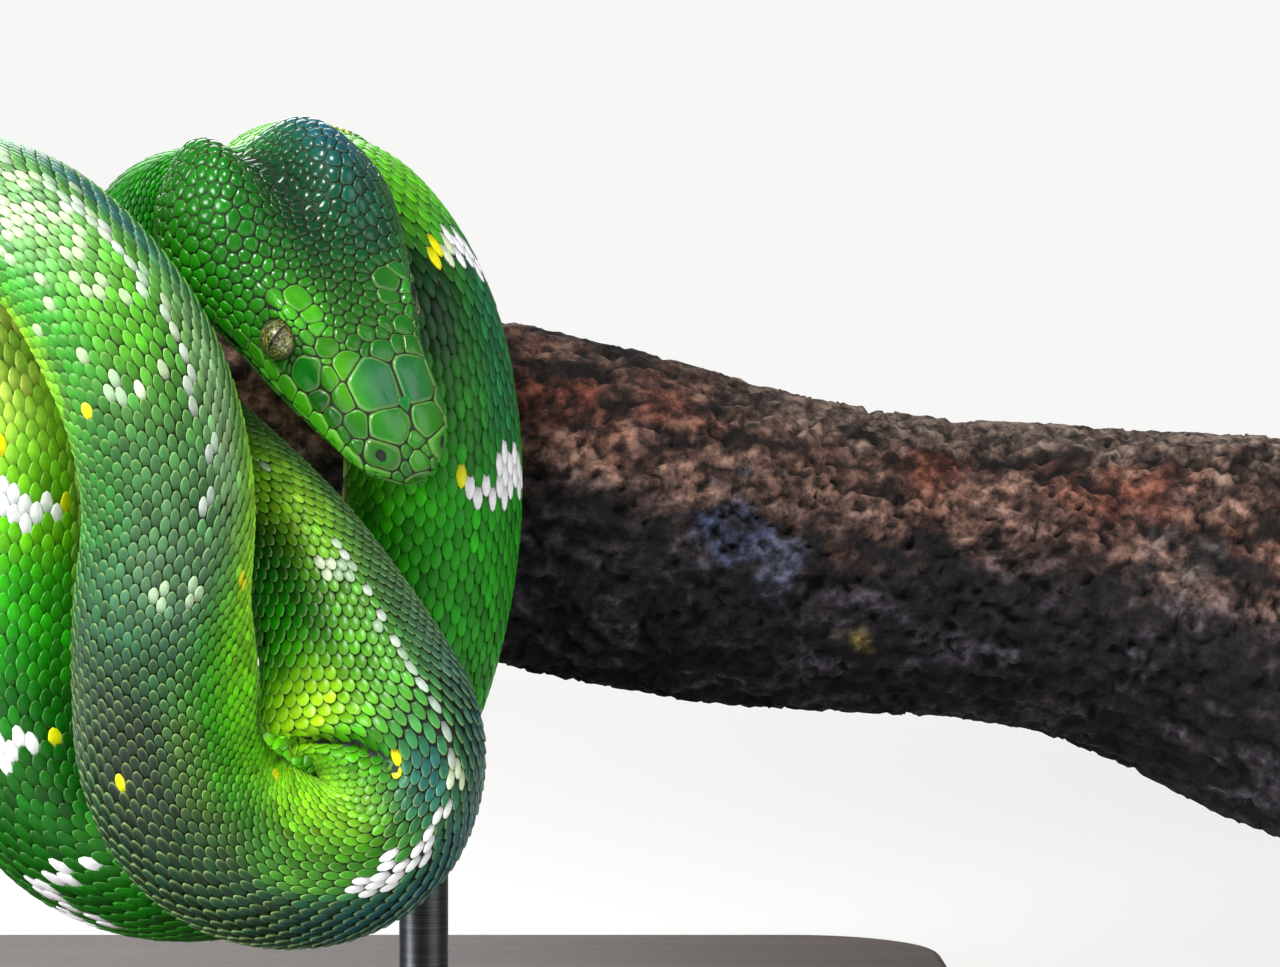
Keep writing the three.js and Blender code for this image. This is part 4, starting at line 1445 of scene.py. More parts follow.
# The animal's right side and the middle of the snout. Most of them are mirrored to the left.
MIDDLE_PLATES = tuple(HeadPlate(*row) for row in (
    (0, 0, 1.3), (1.5, 0.03, 1.5), (1, 1, 1.5), (4.4, 0.04, 1.3), (8.2, 0.04, 0.9), (12.6, -0.085, 4.6),
    (12.1, 0.165, 4.5), (7.2, -0.12, 3.5), (6.6, 0.2, 3.4), (16.4, 0.035, 2.3), (16.4, 0.16, 2.4),
    (16.2, 0.28, 1.7), (17.8, -0.04, 1.25), (20, 0, 1.4), (19.2, -0.08, 1.5),
))
SIDE_PLATES = tuple(HeadPlate(*row) for row in (
    (3.8, -0.3, 3, 1), (16.2, -0.165, 2.7), (20, -0.2, 2), (17.8, -0.24, 1.3), (19.2, -0.14, 0.95),
    (20.8, -0.12, 1.3), (21.7, -0.17, 1.4), (22, -0.25, 1.6), (20.6, -0.28, 1.3), (28, -0.2, 2.4),
    (29, -0.262, 1.9), (26.2, -0.25, 1.8), (25.2, -0.18, 1.9), (23, -0.19, 1.6), (24.3, -0.24, 1.4),
    (16.2, -0.28, 2.2), (18.7, -0.35, 2.6), (12.8, -0.265, 2.5), (9, -0.29, 2.3), (11.9, -0.4, 1.5),
    (2.8, -0.46, 2, 0.3), (6.4, -0.55, 2.1, 0.34), (6.5, -0.4, 1.3), (9.7, -0.53, 1.9, 0.28),
    (9, -0.41, 1.2), (13.1, -0.53, 1.9), (16.5, -0.515, 1.7), (14.9, -0.41, 1.5), (19.8, -0.51, 1.8),
    (22.8, -0.505, 1.6), (25.8, -0.515, 1.7), (28.8, -0.52, 1.7), (31.8, -0.525, 1.7),
    (34.6, -0.535, 1.6), (22, -0.42, 1.1),
))


def clip_polygon(polygon: list, direction: tuple, limit: float) -> list:
    """Keeps the part of a convex polygon that lies behind a line.

    Args:
        polygon: its corners in order.
        direction: the line's normal.
        limit: the line's distance from the origin.

    Returns:
        The corners that are left.
    """
    kept = []
    for (ax, ay), (bx, by) in zip(polygon, polygon[1:] + polygon[:1]):
        a = ax * direction[0] + ay * direction[1] - limit
        b = bx * direction[0] + by * direction[1] - limit
        if a <= 0:
            kept.append((ax, ay))
        if a * b < 0:
            share = a / (a - b)
            kept.append((ax + (bx - ax) * share, ay + (by - ay) * share))
    return kept


def rounded_outline(polygon: list, count: int, cut: float) -> Array:
    """The polygon with its corners cut round, as evenly spaced points.

    Args:
        polygon: its corners in order.
        count: how many points.
        cut: share of each side that a corner takes.

    Returns:
        The points, one row each.
    """
    points = np.array(polygon)
    for _ in range(2):
        ahead = np.roll(points, -1, 0)
        points = np.stack([points + cut * (ahead - points), ahead - cut * (ahead - points)], 1)
        points = points.reshape(-1, 2)
        cut = 0.27
    closed = np.vstack([points, points[:1]])
    travelled = np.concatenate([[0], np.cumsum(np.linalg.norm(np.diff(closed, axis=0), axis=1))])
    at = np.linspace(0, travelled[-1], count, endpoint=False)
    return np.column_stack([np.interp(at, travelled, closed[:, k]) for k in (0, 1)])


@dataclass
class HeadScales:
    """The plates of snout, brow and lips, and the small scales of crown and jaws."""

    body: BodyShape
    relief: HideRelief
    markings: Markings
    neck_roots: Roots
    eye_opening: float = 2.9
    gap: float = 0.045
    lip_gap: float = 0.13
    last: float = 54.5
    relaxing: int = 3
    patch_size: float = 0.0026
    seed: int = 3
    # Depth of each ring under the surface, and its share of the cell.
    rings: tuple = ((-0.85, 1.0), (-0.3, 1.0), (-0.04, 0.93), (0.0, 0.8), (0.02, 0.4))

    def __post_init__(self) -> None:
        """Lays out the surface that the scales follow."""
        self.random = np.random.default_rng(self.seed)
        self.grid_along = np.concatenate([[0.0, 0.15], np.arange(0.3, 62.0, 0.4)])
        rim = self.body.hide_point(np.full(64, 0.3), np.linspace(-1, 1, 64), np.full(64, -0.1))
        self.snout_tip = rim.mean(0) - 0.35 * self.body.read("tangent", 0.3)
        self.grid_across = np.linspace(-1.0, 1.0, 177)
        along, across = (g.ravel() for g in np.meshgrid(self.grid_along, self.grid_across,
                                                        indexing="ij"))
        surface = self._point(along, across)
        quads = grid_quads(len(self.grid_along), len(self.grid_across))[:, [0, 3, 2, 1]]
        self.tree = BVHTree.FromPolygons(surface.tolist(), quads.tolist())
        self.eyes = self._point(np.full(2, self.relief.eye_along),
                                self.relief.eye_across * np.array([1.0, -1.0]))
        lips = self.relief.mouth_across
        self.mouth = self._point(np.tile(self.relief.mouth_along, 2), np.append(lips, -lips))

    def _point(self, along: Array, across: Array) -> Array:
        """The head's surface, relief and all, closed over the end of the snout."""
        behind = np.maximum(along, 0.3)
        rim = self.body.hide_point(behind, across, self.relief.height(behind, across) - 0.05)
        share = np.clip(along / 0.3, 0.0, 1.0)[:, None]
        return self.snout_tip + (rim - self.snout_tip) * share

    def _grain(self, along: Array, across: Array) -> Array:
        """Half the spacing of the small scales, in millimetres."""
        side = np.abs(across)
        reach = 0.82 + 0.22 * smoothstep(0.05, 0.18, side) * bell(along, 44, 11)
        reach = reach + 0.2 * smoothstep(0.38, 0.6, side) + 0.3 * smoothstep(0.62, 0.75, side)
        return reach + 0.25 * bell(along, 18, 5)

    def _named_seeds(self) -> list[HeadPlate]:
        """Every plate that has its own place."""
        seeds = [*MIDDLE_PLATES, *SIDE_PLATES]
        for plate in SIDE_PLATES:
            shift = self.random.uniform(-0.35, 0.35)
            seeds.append(HeadPlate(plate.along + shift, 0.035 * (plate.along < 20) - plate.across,
                                   plate.reach, plate.pit))
        for number in range(9):
            along = 2.6 + 4.1 * number
            lip = float(self.relief.mouth_at(along))
            girth = float(self.body.girth_at(along, 0.5))
            for sign in (-1, 1):
                seeds.append(HeadPlate(along, sign * (lip + 2.1 / girth), 2.0, 0.25 * (number > 4)))
        for number in range(15):
            turn = 2 * math.pi * (number + 0.5) / 15
            for sign in (-1, 1):
                along = self.relief.eye_along + 3.6 * math.cos(turn)
                girth = float(self.body.girth_at(along, 0.5))
                across = self.relief.eye_across + 3.6 * math.sin(turn) / girth
                seeds.append(HeadPlate(along, sign * across, 0.72))
        return seeds

    def _scatter(self, named: list[HeadPlate]) -> tuple[Array, Array, Array]:
        """Fills the rest of the head with small scales.

        Args:
            named: the plates that are there already.

        Returns:
            Along, across and reach of every scale, the named ones first.
        """
        table = np.array([(p.along, p.across, p.reach) for p in named])
        draw = self.random.random((52000, 3))
        along = 1.0 + (self.last - 1.0) * draw[:, 0]
        across = 2 * draw[:, 1] - 1
        keep = draw[:, 2] < self.body.girth_at(along, across) / 48.0
        along, across = along[keep], across[keep]
        reach = self._grain(along, across)
        points = self._point(along, across)
        clear = np.min(np.linalg.norm(points[:, None] - self.eyes, axis=2), 1) > 4.1
        taken = np.zeros((len(table) + len(points), 4))
        used = len(table)
        taken[:used] = np.column_stack([self._point(table[:, 0], table[:, 1]), table[:, 2]])
        chosen = []
        for number in np.nonzero(clear)[0]:
            gaps = np.linalg.norm(taken[:used, :3] - points[number], axis=1)
            if np.all(gaps > (taken[:used, 3] + reach[number]) * 0.86):
                taken[used] = (*points[number], reach[number])
                used += 1
                chosen.append(number)
        small = np.column_stack([along[chosen], across[chosen], reach[chosen]])
        return tuple(np.vstack([table, small]).T.copy())

    def _hide_place(self, point: Vector) -> tuple[Vector, Vector, float, float]:
        """The nearest place of the surface: point, outward direction, along and across."""
        location, normal, face, _ = self.tree.find_nearest(point)
        wide = len(self.grid_across) - 1
        i, j = divmod(face, wide)
        return location, normal, self.grid_along[i] + 0.2, self.grid_across[j]

    def _cells(self, along: Array, across: Array, reach: Array, own: int) -> list:
        """The outline of each scale in its own tangent plane.

        Args:
            along: distance of every scale, then of the first scales of the neck.
            across: share of the half girth of the same.
            reach: their reach.
            own: how many of them are scales of the head.

        Returns:
            For each scale its centre, two directions of the surface, and its corners.
        """
        points = self._point(along, across)
        outward = self.body.outward(along, self.body.angle_at(along, across))
        tangents = self.body.read("tangent", along)
        at_tip = (along < 0.2)[:, None]
        outward = np.where(at_tip, -tangents, outward)
        tangents = np.where(at_tip, self.body.read("side", along), tangents)
        tree = KDTree(len(points))
        for number, point in enumerate(points):
            tree.insert(point, number)
        tree.balance()
        cells = []
        for number in range(own):
            here, normal = points[number], outward[number]
            first = unit(tangents[number] - normal * (tangents[number] @ normal))
            second = np.cross(normal, first)
            mine = reach[number]
            half = 2.2 * mine
            polygon = [(-half, -half), (half, -half), (half, half), (-half, half)]

            def flat(other: Array) -> tuple[float, float, float]:
                """The direction of another place in the cell's plane, and its distance."""
                step = other - here
                distance = float(np.linalg.norm(step))
                x, y = float(step @ first), float(step @ second)
                size = math.hypot(x, y) or 1.0
                return x / size, y / size, distance

            for _, other, gap in tree.find_range(here, 1.6 * mine + 3.4):
                if other == number or gap < 1e-6:
                    continue
                x, y, distance = flat(points[other])
                limit = (distance**2 + mine**2 - reach[other] ** 2) / (2 * distance)
                polygon = clip_polygon(polygon, (x, y), limit - self.gap)
            for eye in self.eyes:
                x, y, distance = flat(eye)
                if distance < 8:
                    polygon = clip_polygon(polygon, (x, y), distance - self.eye_opening)
            gaps = np.linalg.norm(self.mouth - here, axis=1)
            nearest = int(np.argmin(gaps))
            if gaps[nearest] < 5.5 and 0.2 < along[number] < self.relief.mouth_end:
                x, y, distance = flat(self.mouth[nearest])
                polygon = clip_polygon(polygon, (x, y), distance - self.lip_gap)
            cells.append((here, first, second, polygon))
        return cells

    def build(self) -> Piece:
        """Builds every scale of the head as one piece.

        Returns:
            The piece.
        """
        named = self._named_seeds()
        along, across, reach = self._scatter(named)
        own = len(along)
        neck = self.neck_roots
        near = neck.along < 61
        ghosts = (neck.along[near] + neck.length[near] / 2, neck.across[near])
        all_reach = np.concatenate([reach, np.full(near.sum(), 0.7)])
        for step in range(self.relaxing + 1):
            cells = self._cells(np.append(along, ghosts[0]), np.append(across, ghosts[1]),
                                all_reach, own)
            for number in range(len(named), own if step < self.relaxing else 0):
                here, first, second, polygon = cells[number]
                if len(polygon) > 2:
                    x, y = np.mean(polygon, 0)
                    _, _, a, c = self._hide_place(Vector(here + first * x + second * y))
                    if 1.0 < a < self.last:
                        along[number], across[number] = a, c
        pits = np.zeros(own)
        pits[: len(named)] = [plate.pit for plate in named]
        return self._mesh(cells, along, across, reach, pits)

    def _mesh(self, cells: list, along: Array, across: Array, reach: Array, pits: Array) -> Piece:
        """Raises a scale on every cell and joins them.

        Args:
            cells: what _cells returns.
            along: distance of each scale.
            across: share of the half girth of each.
            reach: its reach.
            pits: radius of the pit in it, or 0.

        Returns:
            The finished piece.
        """
        points, faces, corners, rims, places, shades, owners = [], [], [], [], [], [], []
        root_places = bake_place(along, across)
        base_tint = self.markings.base(along, across)
        shift = np.exp(self.random.normal(0, 0.13, len(along)))
        for number, (here, first, second, polygon) in enumerate(cells):
            if len(polygon) < 3 or self._area(polygon) < 0.25:
                continue
            mine, hole = reach[number], pits[number]
            big, size = mine > 1.6, max(mine, 1.0)
            count = 26 if big else (16 if mine > 1.0 else 11)
            outline = rounded_outline(polygon, count, 0.1 if big else 0.17)
            middle = outline.mean(0)
            rings = list(self.rings)
            if hole:
                rings = rings[:3] + [(0.0, min(1.7 * hole / size, 0.7)),
                                     (-0.12, 1.05 * hole / size), (-0.75, 0.75 * hole / size),
                                     (-0.95, 0.35 * hole / size)]
            dome = 0.08 if big else 0.15 * min(mine, 1.1)
            begin = math.atan2(*(outline[0] - middle)[::-1])
            turn = np.linspace(0, 2 * math.pi, count, endpoint=False) + begin
            round_hole = size * np.column_stack([np.cos(turn), 0.8 * np.sin(turn)])
            start = len(points)
            for ring, (height, share) in enumerate([*rings, (rings[-1][0], 0.0)]):
                shape = round_hole if hole and ring > 3 else outline - middle
                raised = height + dome * (1 - share**2) * (ring > 1) - 0.1
                for x, y in middle + (shape if share else shape[:1]) * share:
                    location, out, a, c = self._hide_place(Vector(here + first * x + second * y))
                    points.append(location + out * raised)
                    places.append((a, c))
                    rims.append(1.0 if share > 0.95 else (0.88 if share > 0.85 else 0.0))
                    # The deep rings of a pit are painted nearly black: painted shade in the hole.
                    bottom = 0.05 if share == 0.0 else 0.08
                    shades.append(bottom if hole and ring > 4 else 1.0)
            local = (outline - middle) / (2.2 * max(np.abs(outline - middle).max(), 0.1))
            plan = np.vstack([local * share for _, share in rings] + [np.zeros((1, 2))])
            own, patches = plate_faces(plan * [0.9, 1.0] + [0.5, 0.0], len(rings), count)
            faces.extend(tuple(start + corner for corner in face) for face in own)
            corners.append(root_places[number] + self.patch_size * patches)
            owners.extend([number] * (len(points) - start))
        place, owner = np.array(places), np.array(owners)
        shade = np.array(shades) * shift[owner]
        colour = 0.5 * (self.markings.base(place[:, 0], place[:, 1]) + base_tint[owner])
        head = mesh_object("head_scales", to_world(np.array(points)), faces)
        mesh = head.data
        store(mesh, "tint", np.clip(colour * shade[:, None], 0.002, 0.9))
        store(mesh, "rim", np.array(rims))
        store(mesh, "tip", np.ones(len(points)))
        # Strength of the pale rim: partly the plates' own lime edge, partly painted highlight; more on
        # the large plates, none low on the sides.
        fine = np.where(reach[owner] < 1.3, 0.26, 0.7) * smoothstep(0.8, 0.5, np.abs(place[:, 1]))
        store(mesh, "edge", fine)
        bake_map(mesh, np.vstack(corners))
        mesh.materials.append(ScaleFinish("head_scales_finish", 0.22, 0.0, 0.2, 0.28).material())
        return head

    @staticmethod
    def _area(polygon: list) -> float:
        """The area of a polygon."""
        return 0.5 * abs(sum(a[0] * b[1] - b[0] * a[1]
                             for a, b in zip(polygon, polygon[1:] + polygon[:1])))


@dataclass(frozen=True)
class EyeFinish:
    """A speckled olive iris with an upright slit, under a clear wet layer."""

    name: str = "speckled_eye"
    slit_width: float = 0.25
    slit_length: float = 2.3
    iris_edge: float = 2.05

    def material(self) -> Material:
        """Builds the material from each eye's own places: across, up and out of the iris."""
        material, bench, shader = new_material(self.name)
        gaze = bench.add("ShaderNodeSeparateXYZ", Vector=bench.attribute("gaze", "Vector")).outputs
        x, y = gaze["X"], gaze["Y"]
        place = bench.place()
        speck = bench.noise(place, Scale=2600.0, Detail=3.0, Roughness=0.7)
        cloud = bench.noise(place, Scale=700.0, Detail=2.0)
        specks = bench.ramp(speck, (0.38, "#12140a"), (0.46, "#565a24"), (0.55, "#949848"),
                            (0.68, "#d2d098"))
        shade = bench.ramp(cloud, (0.35, "#a09a80"), (0.65, "#ffffff"))
        colour = bench.mix(1.0, specks, shade, "MULTIPLY")
        squared = bench.math("POWER", bench.math("DIVIDE", y, self.slit_length), 2.0)
        left = bench.math("MAXIMUM", bench.math("SUBTRACT", 1.0, squared), 0.0)
        half = bench.math("MULTIPLY", bench.math("SQRT", left), self.slit_width)
        inside = bench.math("SUBTRACT", half, bench.math("ABSOLUTE", x))
        slit = bench.clamped(bench.math("MULTIPLY", inside, 18.0))
        radius = bench.math("SQRT", bench.math("ADD", bench.math("MULTIPLY", x, x),
                                               bench.math("MULTIPLY", y, y)))
        # Past iris_edge the ball darkens to near black: partly a dark ring round the iris, partly
        # painted shade where the ball turns into its socket.
        past = bench.math("SUBTRACT", radius, self.iris_edge)
        colour = bench.mix(bench.clamped(bench.math("MULTIPLY", past, 0.9)), colour, rgba("#0b0c06"))
        bench.feed(shader, Base_Color=bench.mix(slit, colour, rgba("#020202")),
                   Roughness=bench.math("MULTIPLY_ADD", speck, 0.2, 0.35),
                   Coat_Weight=0.8, Coat_Roughness=0.03)
        return material


@dataclass
class Eye:
    """A ball under its clear spectacle, with a slit that leans forward a little."""

    body: BodyShape
    relief: HideRelief
    side: int
    radius: float = 3.13
    lean: float = math.radians(6.0)

    def build(self) -> Piece:
        """Makes the ball with its pole towards the outside.

        Returns:
            The eye.
        """
        left, back, ahead = (self.body.read(name, self.relief.eye_from_snout)
                             for name in ("side", "back", "tangent"))
        middle = self.relief.eye_centre(self.side)
        out = unit(left * self.side * 0.8 + back * 0.85 - ahead * 0.35)
        up = unit(back - out * (back @ out))
        forward = unit(-ahead - out * (-ahead @ out) - up * (-ahead @ up))
        c, s = math.cos(self.lean), math.sin(self.lean)
        slit_up, slit_aside = up * c - forward * s, forward * c + up * s
        wide, rows = 64, 47
        tilt = np.repeat(np.linspace(0, math.pi, rows + 2)[1:-1], wide)
        turn = np.tile(np.linspace(0, 2 * math.pi, wide, endpoint=False), rows)
        ball = np.column_stack([np.sin(tilt) * np.cos(turn), np.sin(tilt) * np.sin(turn),
                                np.cos(tilt)])
        local = self.radius * np.vstack([ball, [0, 0, 1.0], [0, 0, -1.0]])
        bulge = 0.6 if self.side < 0 else 0.0
        swell = 1 + bulge / self.radius * bell(np.hypot(local[:, 0], local[:, 1]), 0, 2.3)
        points = middle + (local[:, :1] * slit_aside + local[:, 1:2] * slit_up
                           + local[:, 2:] * out * swell[:, None])
        right_handed = float(np.dot(np.cross(slit_aside, slit_up), out)) > 0
        name = "eye_ball_left" if self.side > 0 else "eye_ball_right"
        eye = mesh_object(name, to_world(points), closed_tube(rows, wide, right_handed))
        gaze = local.copy()
        gaze[:, 0] += 10.0 * (local[:, 2] < -0.5)
        store(eye.data, "gaze", gaze)
        eye.data.materials.append(EyeFinish().material())
        return eye


# ---- the perch


def value_noise(points: Array, seed: int) -> Array:
    """Smooth noise between -1 and 1.

    Args:
        points: where, one row each, with a unit between its lattice points.
        seed: fixes the pattern.

    Returns:
        One number for each point.
    """
    low = np.floor(points).astype(np.int64)
    part = points - low
    part = part * part * (3 - 2 * part)
    total = np.zeros(len(points))
    for corner in range(8):
        step = np.array([corner & 1, corner >> 1 & 1, corner >> 2 & 1])
        key = (low + step) @ np.array([73856093, 19349663, 83492791]) + seed * 2654435761
        key = (key ^ (key >> 13)) * 1274126177 & 0xFFFFFFFF
        key = (key ^ (key >> 16)) & 0xFFFF
        weight = np.prod(np.where(step, part, 1 - part), 1)
        total += weight * (key / 32767.5 - 1)
    return total


def layered_noise(points: Array, layers: int, seed: int) -> Array:
    """Noise with finer noise on it.

    Args:
        points: where, one row each.
        layers: how many sizes.
        seed: fixes the pattern.

    Returns:
        One number for each point, mostly between -1 and 1.
    """
    total, share = np.zeros(len(points)), 1.0
    for layer in range(layers):
        total += share * value_noise(points * 2.03**layer + 17.1 * layer, seed + layer)
        share *= 0.52
    return total / 1.6


@dataclass(frozen=True)
class BarkFinish:
    """Dry flaking bark with a colour of its own at every place, painted shade in it included."""

    name: str = "flaking_bark"

    def material(self) -> Material:
        """Builds the material, with its flakes only where the bark is."""
        material, bench, shader = new_material(self.name)
        grain = bench.grain(480.0, 0.0008)
        light = bench.ramp(grain["Mask"], (0.34, "#3a3638"), (0.5, "#a8a4a4"), (0.64, "#ffffff"))
        bark = bench.math("MULTIPLY_ADD", bench.attribute("bark"), 0.75, 0.25)
        colour = bench.mix(bark, bench.attribute("tint", "Color"), light, "MULTIPLY")
        bench.feed(shader, Base_Color=colour, Normal=grain["Normal"], Roughness=0.88,
                   Specular_IOR_Level=0.3)
        return material


# Place along the branch, height round it, reach, colour and strength of each patch of lichen.
LICHEN = (
    (82, 0.08, 8, "#5d6c92", 0.6), (90, -0.06, 6, "#6a7490", 0.6), (105, -0.5, 2.6, "#a08c50", 0.9),
    (-66, 0.5, 9, "#66766e", 0.5), (150, 0.3, 8, "#7b827e", 0.3), (-120, -0.2, 8, "#6c7876", 0.5),
)


@dataclass
class Perch:
    """The short length of branch that the snake is coiled over."""

    step: float = 1.05
    sides: int = 150
    outline: tuple = (
        (-140, 0, 23.4), (-124, 0, 24.6), (-100, 0, 24.2), (-60, 0, 24.4), (-20, 0, 24.2),
        (15, 0, 24.6), (36, 0.2, 26.4), (50, 0.6, 28.2), (72, 2, 27.4), (94, 2.6, 25.8),
        (112, 2.2, 24.4), (128, 0.6, 25), (145, 0, 26.4), (160, 1.4, 30), (172, 3.4, 32.4),
        (180, 4.4, 32.8))
    window: float = 10.0

    def _at(self, x: Array | float, column: int) -> Array:
        """A column of the outline, rounded off."""
        rows = np.array(self.outline, float)
        return np.mean([np.interp(x + o * self.window / 2, rows[:, 0], rows[:, column])
                        for o in range(-2, 3)], 0)

    def _relief(self, x: Array, turn: Array) -> Array:
        """How far the bark lies inside the plain outline, at least nothing."""
        ring = np.column_stack([x / 19.0, 1.9 * np.cos(turn), 1.9 * np.sin(turn)])
        swell = layered_noise(ring, 2, 21)
        bent = ring + 0.4 * np.column_stack([value_noise(ring * 1.7, s) for s in (3, 4, 5)])
        crack = np.abs(layered_noise(bent * np.array([2.4, 3.8, 3.8]), 3, 31))
        plate = np.abs(layered_noise(bent * np.array([4.5, 7.0, 7.0]), 3, 41))
        pits = smoothstep(0.05, 0.6, layered_noise(bent * np.array([6.0, 11.0, 11.0]), 3, 51))
        rough = layered_noise(ring * 17, 3, 61)
        depth = (0.65 * (0.5 - swell) + 1.4 * (1 - smoothstep(0.0, 0.14, crack))
                 + 0.9 * (1 - smoothstep(0.0, 0.2, plate)) + 0.9 * pits + 0.4 * rough)
        return np.clip(depth, -0.05, 2.9)

    def _colours(self, x: Array, turn: Array, depth: Array) -> Array:
        """Brown and rust above, slate below on a near-black that is painted shade of the underside,
        pale on the ridge at the right, and lichen, with painted shade in the cracks and over the top.
        """
        ring = np.column_stack([x / 14.0, 2.6 * np.cos(turn), 2.6 * np.sin(turn)])
        blotch = layered_noise(ring, 4, 71)
        bent = ring + 0.25 * np.column_stack([value_noise(ring * 2.1, s) for s in (6, 7, 8)])
        flake = layered_noise(bent * np.array([2.0, 3.2, 3.2]), 4, 75)
        fine = layered_noise(ring * 6, 3, 81)
        up, front = np.cos(turn), -np.sin(turn)
        rust = bell(up, 0.72, 0.3) * smoothstep(-0.05, 0.45, blotch + 0.5 * flake)
        # below: the near-black is painted shade of the underside, and the grey flakes on it are the
        # bark's.
        below = smoothstep(0.42, -0.16, up + 0.3 * blotch + 0.2 * flake)
        ridge = smoothstep(0.7, 0.93, up + 0.22 * flake) * smoothstep(62, 104, x)
        colour = towards(
            np.repeat(linear("#7a5c50")[None], len(x), 0),
            ("#a88474", smoothstep(0.08, 0.4, flake)),
            ("#2b1e1b", smoothstep(-0.02, 0.3, -flake)),
            ("#944a34", 0.7 * rust * smoothstep(-110, -40, x)),
            ("#1d1d22", 0.94 * below),
            ("#585460", 0.85 * below * smoothstep(0.08, 0.4, flake)),
            ("#bea696", 0.9 * ridge))
        place = layered_noise(ring * 3.4, 4, 91)
        for middle, level, reach, paint, most in LICHEN:
            spot = bell(np.hypot((x - middle) / reach, (up - level) * 26 / reach), 0, 1.0)
            spot = spot * (front > -0.2)
            colour = towards(colour, (paint, most * smoothstep(0.45, 0.95, spot + 0.75 * place)))
        # Near black in the deep cracks: painted shade.
        colour = towards(colour, ("#0c0908", 0.95 * smoothstep(0.9, 2.1, depth)))
        # Darker over the top: painted shade.
        colour = colour * (1 - 0.5 * smoothstep(0.5, 0.95, up))[:, None]
        return colour * (1 + 0.22 * fine)[:, None]

    def build(self) -> Piece:
        """Makes the branch with its bark and its two sawn ends.

        Returns:
            The branch.
        """
        start, end = self.outline[0][0], self.outline[-1][0]
        along = np.linspace(start, end, round((end - start) / self.step) + 1)
        turn = np.linspace(0, 2 * math.pi, self.sides, endpoint=False)
        x, angle = np.repeat(along, self.sides), np.tile(turn, len(along))
        depth = self._relief(x, angle)
        lump = 0.35 * np.sin(3 * angle + x / 17) + 0.25 * np.sin(5 * angle - x / 11)
        radius = self._at(x, 2) + lump - 0.15 - depth
        chamfer = np.minimum(x - start, end - x)
        radius = radius - 0.9 * (1 - smoothstep(0, 1.6, chamfer))
        middle = np.column_stack([x, np.zeros_like(x),
                                  -math.tan(BRANCH_TILT) * x - self._at(x, 1)])
        up = np.array([math.sin(BRANCH_TILT), 0.0, math.cos(BRANCH_TILT)])
        round_it = np.cos(angle)[:, None] * up + np.sin(angle)[:, None] * np.array([0.0, 1.0, 0.0])
        points = middle + radius[:, None] * round_it
        colour = self._colours(x, angle, depth)
        ends = [self._sawn_end(rim, turn) for rim in (points[: self.sides], points[-self.sides :])]
        (near, near_wood), (far, far_wood) = ends
        middles = np.array([near[-1].mean(0), far[-1].mean(0)])
        everything = np.vstack([near[::-1].reshape(-1, 3), points, far.reshape(-1, 3), middles])
        tint = np.vstack([near_wood[::-1].reshape(-1, 3), colour, far_wood.reshape(-1, 3),
                          [linear("#5c432e")] * 2])
        bark = np.repeat([0.0, 1.0, 0.0], [near.size // 3, len(points), far.size // 3 + 2])
        faces = closed_tube(len(along) + len(near) + len(far), self.sides, True)
        branch = mesh_object("perch_bark", to_world(everything), faces)
        store(branch.data, "tint", np.clip(tint, 0.002, 0.9))
        store(branch.data, "bark", bark)
        branch.data.materials.append(BarkFinish().material())
        return branch

    def _sawn_end(self, rim: Array, turn: Array) -> tuple[Array, Array]:
        """Rings from the bark in to the middle of a sawn end.

        Args:
            rim: the outline's points at this end.
            turn: the angle of each.

        Returns:
            The points and their colours, with the tree's growth rings.
        """
        share = np.arange(0.97, 0.05, -0.03)[:, None, None]
        points = rim.mean(0) + (rim - rim.mean(0)) * share
        size = np.linalg.norm(points - rim.mean(0), axis=2)
        steps = np.column_stack([np.tile(np.cos(turn) * 6, len(share)),
                                 np.tile(np.sin(turn) * 6, len(share)), size.ravel() / 30])
        spoke = np.clip(layered_noise(steps, 3, 7), -1, 1).reshape(size.shape)
        bands = 0.5 + 0.5 * np.sin(size * 2.2 + 0.9 * spoke)
        wood = linear("#8f6d4c") * (0.72 + 0.35 * bands + 0.12 * spoke)[..., None]
        return points, np.where(share > 0.9, linear("#3a2a22"), wood)

    def underside(self, x: float) -> float:
        """Height of the branch's underside over a place of the base."""
        return float(-math.tan(BRANCH_TILT) * x - self._at(x, 1) - self._at(x, 2))


# ---- the stand


@dataclass(frozen=True)
class WoodFinish:
    """Dark oiled wood with a long grain."""

    name: str = "oiled_wood"

    def material(self) -> Material:
        """Builds the material."""
        material, bench, shader = new_material(self.name)
        wave = bench.noise(bench.place((9.0, 120.0, 120.0)), Scale=1.0, Detail=5.0,
                           Roughness=0.62, Distortion=0.8)
        colour = bench.ramp(wave, (0.3, "#2f2018"), (0.5, "#4a3224"), (0.62, "#5d402d"),
                            (0.75, "#38261b"))
        grain = bench.grain(420.0, 0.00006)
        rough = bench.math("MULTIPLY_ADD", grain["Mask"], 0.2, 0.34)
        bench.feed(shader, Base_Color=colour, Roughness=rough, Normal=grain["Normal"])
        return material


@dataclass(frozen=True)
class SteelFinish:
    """Blackened steel, brushed round the rods."""

    name: str = "blackened_steel"

    def material(self) -> Material:
        """Builds the material."""
        material, bench, shader = new_material(self.name)
        lines = bench.noise(bench.place((30.0, 30.0, 2500.0)), Scale=1.0, Detail=2.0)
        colour = bench.ramp(lines, (0.3, "#2b2c2e"), (0.7, "#55575a"))
        rough = bench.math("MULTIPLY_ADD", lines, 0.25, 0.28)
        bench.feed(shader, Base_Color=colour, Roughness=rough, Metallic=0.85)
        return material


